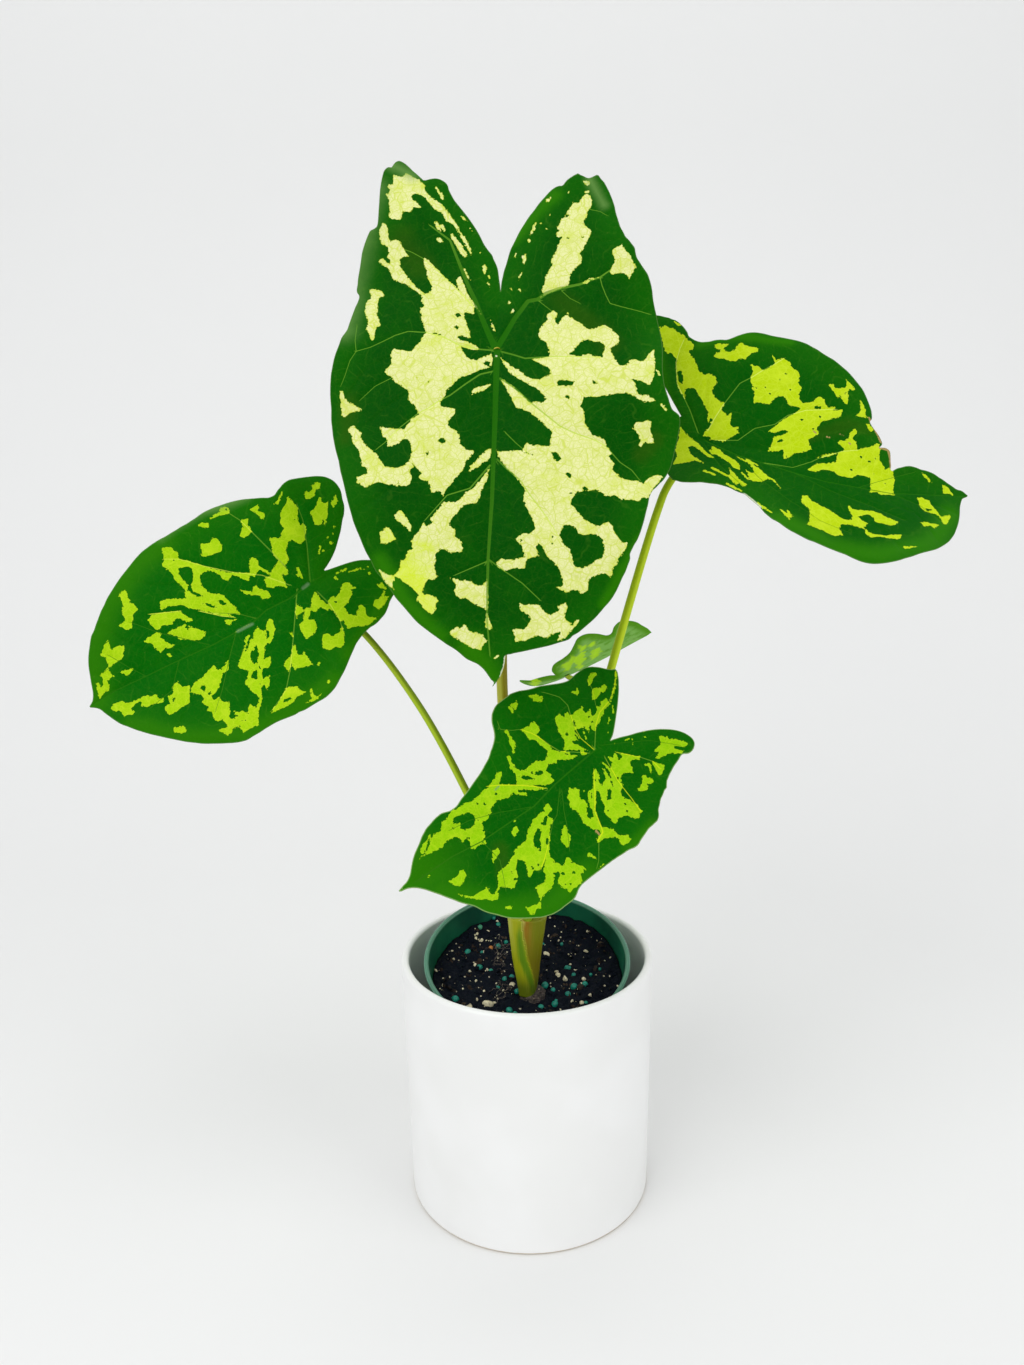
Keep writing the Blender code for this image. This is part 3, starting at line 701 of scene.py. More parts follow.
ROOT_SKIN = (3.0, 0.3, 0.2)
root_mix = (ROOT, ROOT_DARK, 0.8, 3.0)
root_paint = two_toned("dead root fibres", *root_mix, 0.75, ROOT_SKIN, (0.3, 0.7))
fibre_points, fibre_faces, total = [], [], 0
for right, back, _ in soil_spots(FIBRES):
    for _ in range(ROOTS_TO_A_TANGLE):
        heading = draw.uniform(0.0, math.tau)
        here = np.array((right + draw.gauss(0.0, 1.2), back + draw.gauss(0.0, 1.6)))
        knots = []
        for _ in range(6):
            knots.append(on_soil(here[0], here[1], 0.7 + draw.uniform(-0.3, 0.9)))
            heading += draw.gauss(0.0, 0.7)
            here = here + 1.1 * np.array((math.cos(heading), math.sin(heading)))
        thinning = [1.0 - 0.6 * step / ROOT_STEPS for step in range(ROOT_STEPS + 1)]
        radii = [draw.uniform(0.10, 0.22) * share for share in thinning]
        made_points, made_faces = tube(smooth_path(knots, ROOT_STEPS), radii, 5)
        fibre_points.append(made_points)
        fibre_faces += [tuple(corner + total for corner in face) for face in made_faces]
        total += len(made_points)
placed = in_nursery(np.vstack(fibre_points))
fibres = new_piece("dead_root_fibres", placed, fibre_faces, root_paint)
for piece in (soil, crumbs, prills, *odd_prills, perlite, fibres):
    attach(piece, "root")
    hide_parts("potting_soil")

# Corm
# The plant's corm, its top just out of the soil: a brown scabby skin in rough overlapping scales,
# with ring scars of old leaves round it.
CORM_SKIN = (0.36, 0.31, 0.28)
CORM_DARK = (0.15, 0.125, 0.125)
CORM_PALE = (0.66, 0.58, 0.50)
CORM_SHIFT = (0.9, -0.4, 0.0)
CORM_SCABS = (0.05, 0.04)  # shares of the radius, as is the next
CORM_RING_SCAR = 0.035

ball, corm_faces = round_mesh(5)
x, y, z = ball.T
turn_about = np.arctan2(y, x)
scab = CORM_SCABS[0] * grainy(turn_about * 3.0, z * 6.0, 1.0, 11)
scab = scab + CORM_SCABS[1] * grainy(x * 9, y * 9 + z * 5, 1.0, 12)
ring_scars = CORM_RING_SCAR * np.abs(np.sin(z * 11.0 + 0.4 * np.sin(turn_about * 3.0)))
corm_sizes = np.array((CORM_RADIUS, CORM_RADIUS, CORM_HEIGHT))
corm_points = ball * (0.93 + scab + ring_scars)[:, None] * corm_sizes
corm_points = corm_points + np.array(CORM_CENTRE) + np.array(CORM_SHIFT)
skin, wire = new_material("scabby corm skin")
place = wire.place()
tone = place.noise(0.55, 5.0, 0.7)
scale_edge = place.scaled(1.0, 1.0, 2.2).cells(0.42, "DISTANCE_TO_EDGE")
ring_mark = (place.part(2) * 0.45 + place.noise(0.3) * 1.2).fraction()
base = tone.rise(0.35, 0.65).tint(CORM_DARK, CORM_SKIN)
worn = ring_mark.rise(0.6, 1.0) * place.noise(0.9, 3.0).rise(0.5, 0.65)
base = worn.tint(base, CORM_PALE)
wire.surface(
    {
        "Base Color": (scale_edge.rise(0.12, 0.0) * 0.7).tint(base, CORM_DARK),
        "Roughness": 0.7 + tone * 0.25,
        "Normal": (scale_edge.rise(0.0, 0.2) + tone).bump(0.8, 0.6),
    }
)
corm = new_piece("scaly_corm", corm_points, corm_faces, skin)
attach(corm, "root")
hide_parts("corm")

# Sheath
# The stalks' fleshy bases wrap round each other: a bright yellow-green wing comes round from the
# left and its edge lies over the olive-brown base on the right.
SHEATH_PATH = [
    (-0.1, -16.4, 115.6), (0.1, -14.9, 123.0), (-0.2, -12.9, 136.0), (0.1, -11.5, 149.0),
    (0.4, -11.0, 157.0), (0.4, -11.0, 158.2),
]
SHEATH_RADII = [4.3, 5.5, 7.4, 9.0, 10.0, 9.2]
WING_EDGE = [-20.0, -50.0, -87.0, -104.0, -107.0, -108.0]  # its bearing at each, -90 to the front
WING_STEP = 0.05  # shares of the radius: how far the wing's edge stands up, and the groove's depth
REAR_GROOVE = 0.05
SHEATH_SIDES = 96
SHEATH_RINGS = 70
WING_LIME = (0.66, 0.68, 0.05)
# Painted highlight colour, for where the light falls on the wing.
WING_HIGHLIGHT = (0.80, 0.81, 0.42)
OLIVE = (0.48, 0.50, 0.02)
OLIVE_BROWN = (0.44, 0.39, 0.01)
BROWN_STREAK = (0.60, 0.43, 0.06)
SHEATH_GREEN = (0.38, 0.55, 0.03)
SHEATH_SIDE = (0.56, 0.53, 0.25)
SHEATH_FOOT = (0.27, 0.34, 0.02)
SHEATH_FLECK = (0.66, 0.64, 0.30)

sheath_path = smooth_path(SHEATH_PATH, SHEATH_RINGS)
around = math.tau * np.arange(SHEATH_SIDES) / SHEATH_SIDES
sheath_radii, sheath_flow = [], []
for ring in range(SHEATH_RINGS + 1):
    share = ring / SHEATH_RINGS
    radius, wing_edge = (np.interp(share * 5, range(6), row) for row in (SHEATH_RADII, WING_EDGE))
    beyond = (around - math.radians(wing_edge)) % math.tau
    step = WING_STEP * np.exp(-((beyond / 0.9) ** 2))  # the base right of the edge lies lower
    groove = REAR_GROOVE * np.exp(-((((around - math.radians(75.0)) % math.tau) / 0.25) ** 2))
    ripple = 0.012 * np.cos(7 * around + 2.0 * share) + 0.008 * np.cos(15 * around)
    sheath_radii.append(radius * (1.0 - step - groove + ripple))
    sheath_flow.append(np.column_stack((beyond, np.full(SHEATH_SIDES, share), around)))
sheath_skin, wire = new_material("sheath of the stalks")
flow = wire.stored("flow")
beyond, share, about = flow.part(0), flow.part(1), flow.part(2)
streak = wire.make("CombineXYZ", {0: about * 9.0, 1: share * 1.6, 2: 0.0})
lines = streak.noise(1.0, 3.0, 0.6)
fine = wire.make("CombineXYZ", {0: about * 30.0, 1: share * 2.5, 2: 1.0}).noise(1.0, 2.0)
wander = (lines - 0.5) * 0.5
right_side = (beyond + wander * 0.25).rise(-0.02, 0.16) * beyond.rise(2.9, 2.2)
green = (beyond + wander - share.rise(0.4, 0.8) * 0.5).rise(5.5, 5.85)
green = green * (1.0 - 0.35 * beyond.rise(6.05, 6.25)) * share.rise(0.93, 0.6)
wing = green.tint(WING_LIME, SHEATH_GREEN)
# Painted highlight: the wing's left side, higher up, is painted paler where the light falls on it.
lit = (beyond + wander * 0.6).rise(5.85, 5.35) * share.rise(0.35, 0.75)
wing = (lit * 0.5).tint(wing, WING_HIGHLIGHT)
brown = (beyond + wander).rise(0.75, 0.15) * share.rise(0.35, 0.7)
plain = brown.tint(OLIVE, BROWN_STREAK)
# Painted highlight: a pale streak just right of the wing's edge, high up.
plain = (beyond.rise(0.26, 0.1) * share.rise(0.68, 0.82) * 0.55).tint(plain, WING_HIGHLIGHT)
plain = (share.rise(0.62, 0.3) * 0.8).tint(plain, OLIVE_BROWN)
plain = (beyond.rise(1.35, 1.75) * 0.35).tint(plain, SHEATH_SIDE)
colour = right_side.tint(wing, plain)
colour = (share.rise(0.34, 0.12) * 0.85).tint(colour, SHEATH_FOOT)
wire.surface(
    {
        "Base Color": (fine.rise(0.45, 0.8) * 0.22).tint(colour, SHEATH_FLECK),
        "Roughness": 0.42 + lines * 0.14,
        "Normal": (lines * 0.5 + fine * 0.5).bump(0.2, 0.25),
        "Specular IOR Level": 0.25,
    }
)
sheath = new_piece("wrapped_sheath", *tube(sheath_path, sheath_radii, SHEATH_SIDES), sheath_skin)
store(sheath, "flow", np.vstack(sheath_flow))
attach(sheath, "root")
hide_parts("stem_sheath")

# Leaf stalks
# Each blade stands on one smooth fleshy stalk that rises out of the sheath and arches over to meet
# the blade's under face. Yellow-green, painted paler on its lit side and darker, as painted shade,
# on the other, and olive-brown low down.
BLADE_THICKNESS = 0.8
STALK_GAP = 0.3  # between a stalk's end and its blade
STALK_BEND = 8.0  # how far below the blade a stalk starts to turn square to it
STALK_SIDES = 28
STALK_RINGS = 140
STALK_CURVE_RINGS = 18
STALK_BASE = (0.56, 0.54, 0.14)
STALKS = {
    "centre": {
        "points": [
            (0.4, -11, 146), (0.0, -10.8, 158), (-4.6, -5.5, 200), (-9.8, 5, 262), (-9.6, 13, 320),
            (-9.2, 18, 380),
        ],
        "radii": (3.2, 2.1), "bright": (-1.0, 0.0, 0.0),
        "lit": (0.71, 0.71, 0.24), "shade": (0.54, 0.50, 0.03),
    },
    "left": {
        "points": [
            (-6.0, -11, 146), (-7.3, -10.8, 158), (-17, -8, 192), (-29, -5, 222), (-50.5, -1, 264),
            (-77, 3, 301),
        ],
        "radii": (2.3, 1.3), "bright": (-0.6, -0.2, -0.7),
        "lit": (0.66, 0.76, 0.12), "shade": (0.45, 0.54, 0.01),
    },
    "right": {
        "points": [
            (6.6, -11, 146), (7.7, -10.8, 158), (20, -3.5, 198), (34, 7, 242), (45, 15, 279),
            (64.5, 23, 344), (76, 30, 371),
        ],
        "radii": (2.5, 1.7), "bright": (1.0, 0.0, 0.0),
        "lit": (0.77, 0.86, 0.12), "shade": (0.63, 0.725, 0.02),
    },
    "front": {
        "points": [(0.4, -17.3, 146), (0.6, -18.1, 158), (6, -21.5, 188), (17, -26, 218)],
        "radii": (2.3, 1.4), "bright": (-0.3, -0.9, 0.0),
        "lit": (0.52, 0.62, 0.06), "shade": (0.38, 0.44, 0.02),
    },
    "rear": {
        "points": [(0.4, -4.8, 146), (0.6, -3.9, 158), (6, 8, 190), (16, 33, 228)],
        "radii": (1.7, 1.0), "bright": (0.5, -0.8, 0.3),
        "lit": (0.66, 0.74, 0.16), "shade": (0.46, 0.56, 0.05),
    },
}
# The blades' own numbers, which say where the stalks end. The outline is (across, along)
# the midrib from the stalk; azimuth and rise aim the midrib, roll turns the face about it, droop
# bends the tip down, lift bends the lobes up, fold and curl shape the sides, wave ripples them.
LEAVES = {
    "centre": {
        "junction": (-9.3, 0.0, 431.5), "azimuth": -93.8, "rise": -61.8, "roll": 0.0,
        "length": 153.3, "droop": 18.0, "lift": 12.0, "fold": (6.0, 6.0), "curl": (-14.0, -14.0),
        "bow": 0.0, "wave": (1.5, 70.0, 0.0, 90.0),
        "down": """
-1,-31 -4,-48 -12,-66 -23,-80 -32,-87 -37,-89 -46,-89 -53,-75 -62,-51 -68,-39 -73,-18 -75,-1
-76,18 -82,38 -81,49 -70,68 -64,88 -59,101 -51,117 -38,129 -24,136 -5,141 -3,148 0,153.3""",
        "up": """
0,153.3 6,146 17,138 36,124 50,107 60,90 67,68 74,43 77,20 74,2 70,-13 66,-32 65,-48 61,-61
57,-66 56,-85 54,-96 47,-99 38,-91 25,-86 11,-65 2,-50 -1,-31""",
    },
    "left": {
        "junction": (-101.8, 0.0, 325.7), "azimuth": -151.3, "rise": -20.0, "roll": -55.0,
        "length": 115.9, "droop": 20.0, "lift": 10.0, "fold": (8.0, 8.0), "curl": (-12.0, -12.0),
        "bow": 0.0, "wave": (1.5, 52.0, 40.0, 150.0),
        "down": """
3,-10 1,-25 -2,-32 -7,-38 -15,-40 -25,-32 -31,-23 -33,-16 -37,-5 -49,11 -54,22 -53,45 -53,60
-43,81 -31,94 -17,106 -4,112 0,115.9""",
        "up": """
0,115.9 4,111 20,104 39,84 51,61 53,39 54,20 50,1 47,-6 50,-12 52,-20 49,-31 42,-38 33,-37
14,-25 6,-17 3,-10""",
    },
    "right": {
        "junction": (91.8, 28.0, 389.4), "azimuth": -12.2, "rise": -3.7, "roll": 46.0,
        "length": 133.7, "droop": 26.0, "lift": 8.0, "fold": (13.0, 9.0), "curl": (8.0, 12.0),
        "bow": 5.0, "wave": (2.0, 60.0, 60.0, 200.0),
        "down": """
-13,-13 -21,-18 -33,-25 -49,-33 -60,-37 -69,-35 -71,-27 -64,-17 -55,-11 -54,-3 -59,11 -65,28
-65,40 -58,52 -48,65 -38,74 -24,80 -15,87 -8,91 -5,94 -8,101 -7,112 -3,124 0,133.7""",
        "up": """
0,133.7 5,130 17,127 37,118 54,100 64,84 64,72 62,58 60,46 53,37 36,26 31,14 31,3 33,-7 30,-13
23,-18 11,-23 0,-25 -6,-22 -13,-13""",
    },
    "front": {
        "junction": (32.5, -40.0, 251.3), "azimuth": -142.0, "rise": -16.0, "roll": -42.0,
        "length": 111.5, "droop": 20.0, "lift": 10.0, "fold": (8.0, 8.0), "curl": (-14.0, -14.0),
        "bow": 0.0, "wave": (3.0, 44.0, 0.0, 120.0),
        "down": """
1,-11 -1,-23 -4,-30 -8,-36 -13,-42 -20,-45 -25,-41 -24,-35 -29,-21 -35,-10 -42,1 -46,14 -45,32
-46,49 -49,58 -46,70 -36,84 -17,96 -4,104 0,111.5""",
        "up": """
0,111.5 2,104 10,94 16,80 17,65 25,43 32,35 41,30 45,21 41,5 36,-11 38,-26 32,-35 28,-38 19,-32
11,-24 4,-16 1,-11""",
    },
    "rear": {
        "junction": (24.4, 60.0, 265.5), "azimuth": 13.0, "rise": 23.0, "roll": -24.0,
        "length": 53.0, "droop": 1.0, "lift": 88.0, "fold": (2.0, 27.0), "curl": (-14.0, 18.0),
        "bow": 0.0, "wave": (0.0, 30.0, 0.0, 0.0),
        "down": """
3,-6 4,-10 3,-15 0,-20 -6,-25 -12,-25 -18,-20 -18,-14 -12,-7 -11,0 -14,8 -16,16 -15,27 -11,37
-5,46 0,53""",
        "up": """
0,53 5,51 10,48 15,45 19,41 22,36 20,32 16,30 16,27 21,22 25,16 25,11 21,8 17,5 15,1 14,-4 12,-7
8,-8 5,-7 3,-6""",
    },
}


def leaf_axes(leaf):
    """Unit vectors at the stalk: along the midrib, across it and out of the upper face."""
    azimuth, rise, roll = (math.radians(leaf[key]) for key in ("azimuth", "rise", "roll"))
    level = math.cos(rise)
    along = np.array((math.cos(azimuth) * level, math.sin(azimuth) * level, math.sin(rise)))
    level_face = np.array((0.0, 0.0, 1.0)) - along * along[2]
    level_face = level_face / np.linalg.norm(level_face)
    level_across = np.cross(along, level_face)
    face = math.cos(roll) * level_face + math.sin(roll) * level_across
    across = math.cos(roll) * level_across - math.sin(roll) * level_face
    return along, across, face


def stalk_paint(name, lit, shade):
    made, wire = new_material(name + " leaf stalk")
    flow = wire.stored("flow")
    share, about, bright = flow.part(0), flow.part(1), flow.part(2)
    streak = wire.make("CombineXYZ", {0: about * 3.0, 1: share * 14.0, 2: bright})
    streak = streak.noise(1.0, 4.0, 0.6)
    fleck = wire.place().scaled(1.0, 1.0, 0.35).noise(1.4, 3.0)
    # Painted light and shade: the lit colour where the stalk faces its bright direction, the shade
    # colour away from it.
    colour = (bright + streak * 0.6 - 0.3).rise(-0.45, 0.4).tint(shade, lit)
    colour = (share.rise(0.16, 0.02) * (0.3 + streak * 0.5)).tint(colour, STALK_BASE)
    darker = tuple(part * 0.85 for part in shade)
    wire.surface(
        {
            "Base Color": (fleck.rise(0.6, 0.8) * 0.25).tint(colour, darker),
            "Roughness": 0.42 + streak * 0.14,
            "Normal": (streak + fleck * 0.4).bump(0.15, 0.2),
            "Specular IOR Level": 0.25,
        }
    )
    return made


for name, stalk in STALKS.items():
    leaf = LEAVES[name]
    face = leaf_axes(leaf)[2]
    junction = np.array(leaf["junction"])
    end = junction - (BLADE_THICKNESS + STALK_GAP) * face
    knots = [*stalk["points"], junction - STALK_BEND * face, end]
    coarse = smooth_path(knots, STALK_CURVE_RINGS)
    path = smooth_path(coarse, STALK_RINGS)
    base, tip = stalk["radii"]
    angles = math.tau * np.arange(STALK_SIDES) / STALK_SIDES
    radii = []
    for ring in range(STALK_RINGS + 1):
        share = ring / STALK_RINGS
        from_start, from_end = (np.linalg.norm(path[ring] - path[end]) for end in (0, -1))
        flare = 0.35 * math.exp(-((from_end / 4.0) ** 2))
        shape = 1.0 + 0.03 * np.cos(2 * angles + 1.0) + 0.012 * np.cos(9 * angles)
        tucked = 1.0 - 0.45 * math.exp(-((from_start / 6.0) ** 2))  # for the sheath to cover it
        radii.append((base + (tip - base) * share + flare) * shape * tucked)
    points, faces = tube(path, radii, STALK_SIDES, face)
    outward = points - np.repeat(path, STALK_SIDES, axis=0)
    bright = (outward / np.linalg.norm(outward, axis=1)[:, None]) @ np.array(stalk["bright"])
    shares = np.repeat(np.linspace(0.0, 1.0, STALK_RINGS + 1), STALK_SIDES)
    paint = stalk_paint(name, stalk["lit"], stalk["shade"])
    piece = new_piece("stalk_" + name, points, faces, paint)
    store(piece, "flow", np.column_stack((shares, np.tile(angles, STALK_RINGS + 1), bright)))
    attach(piece, "root")
    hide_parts("petiole_" + name)
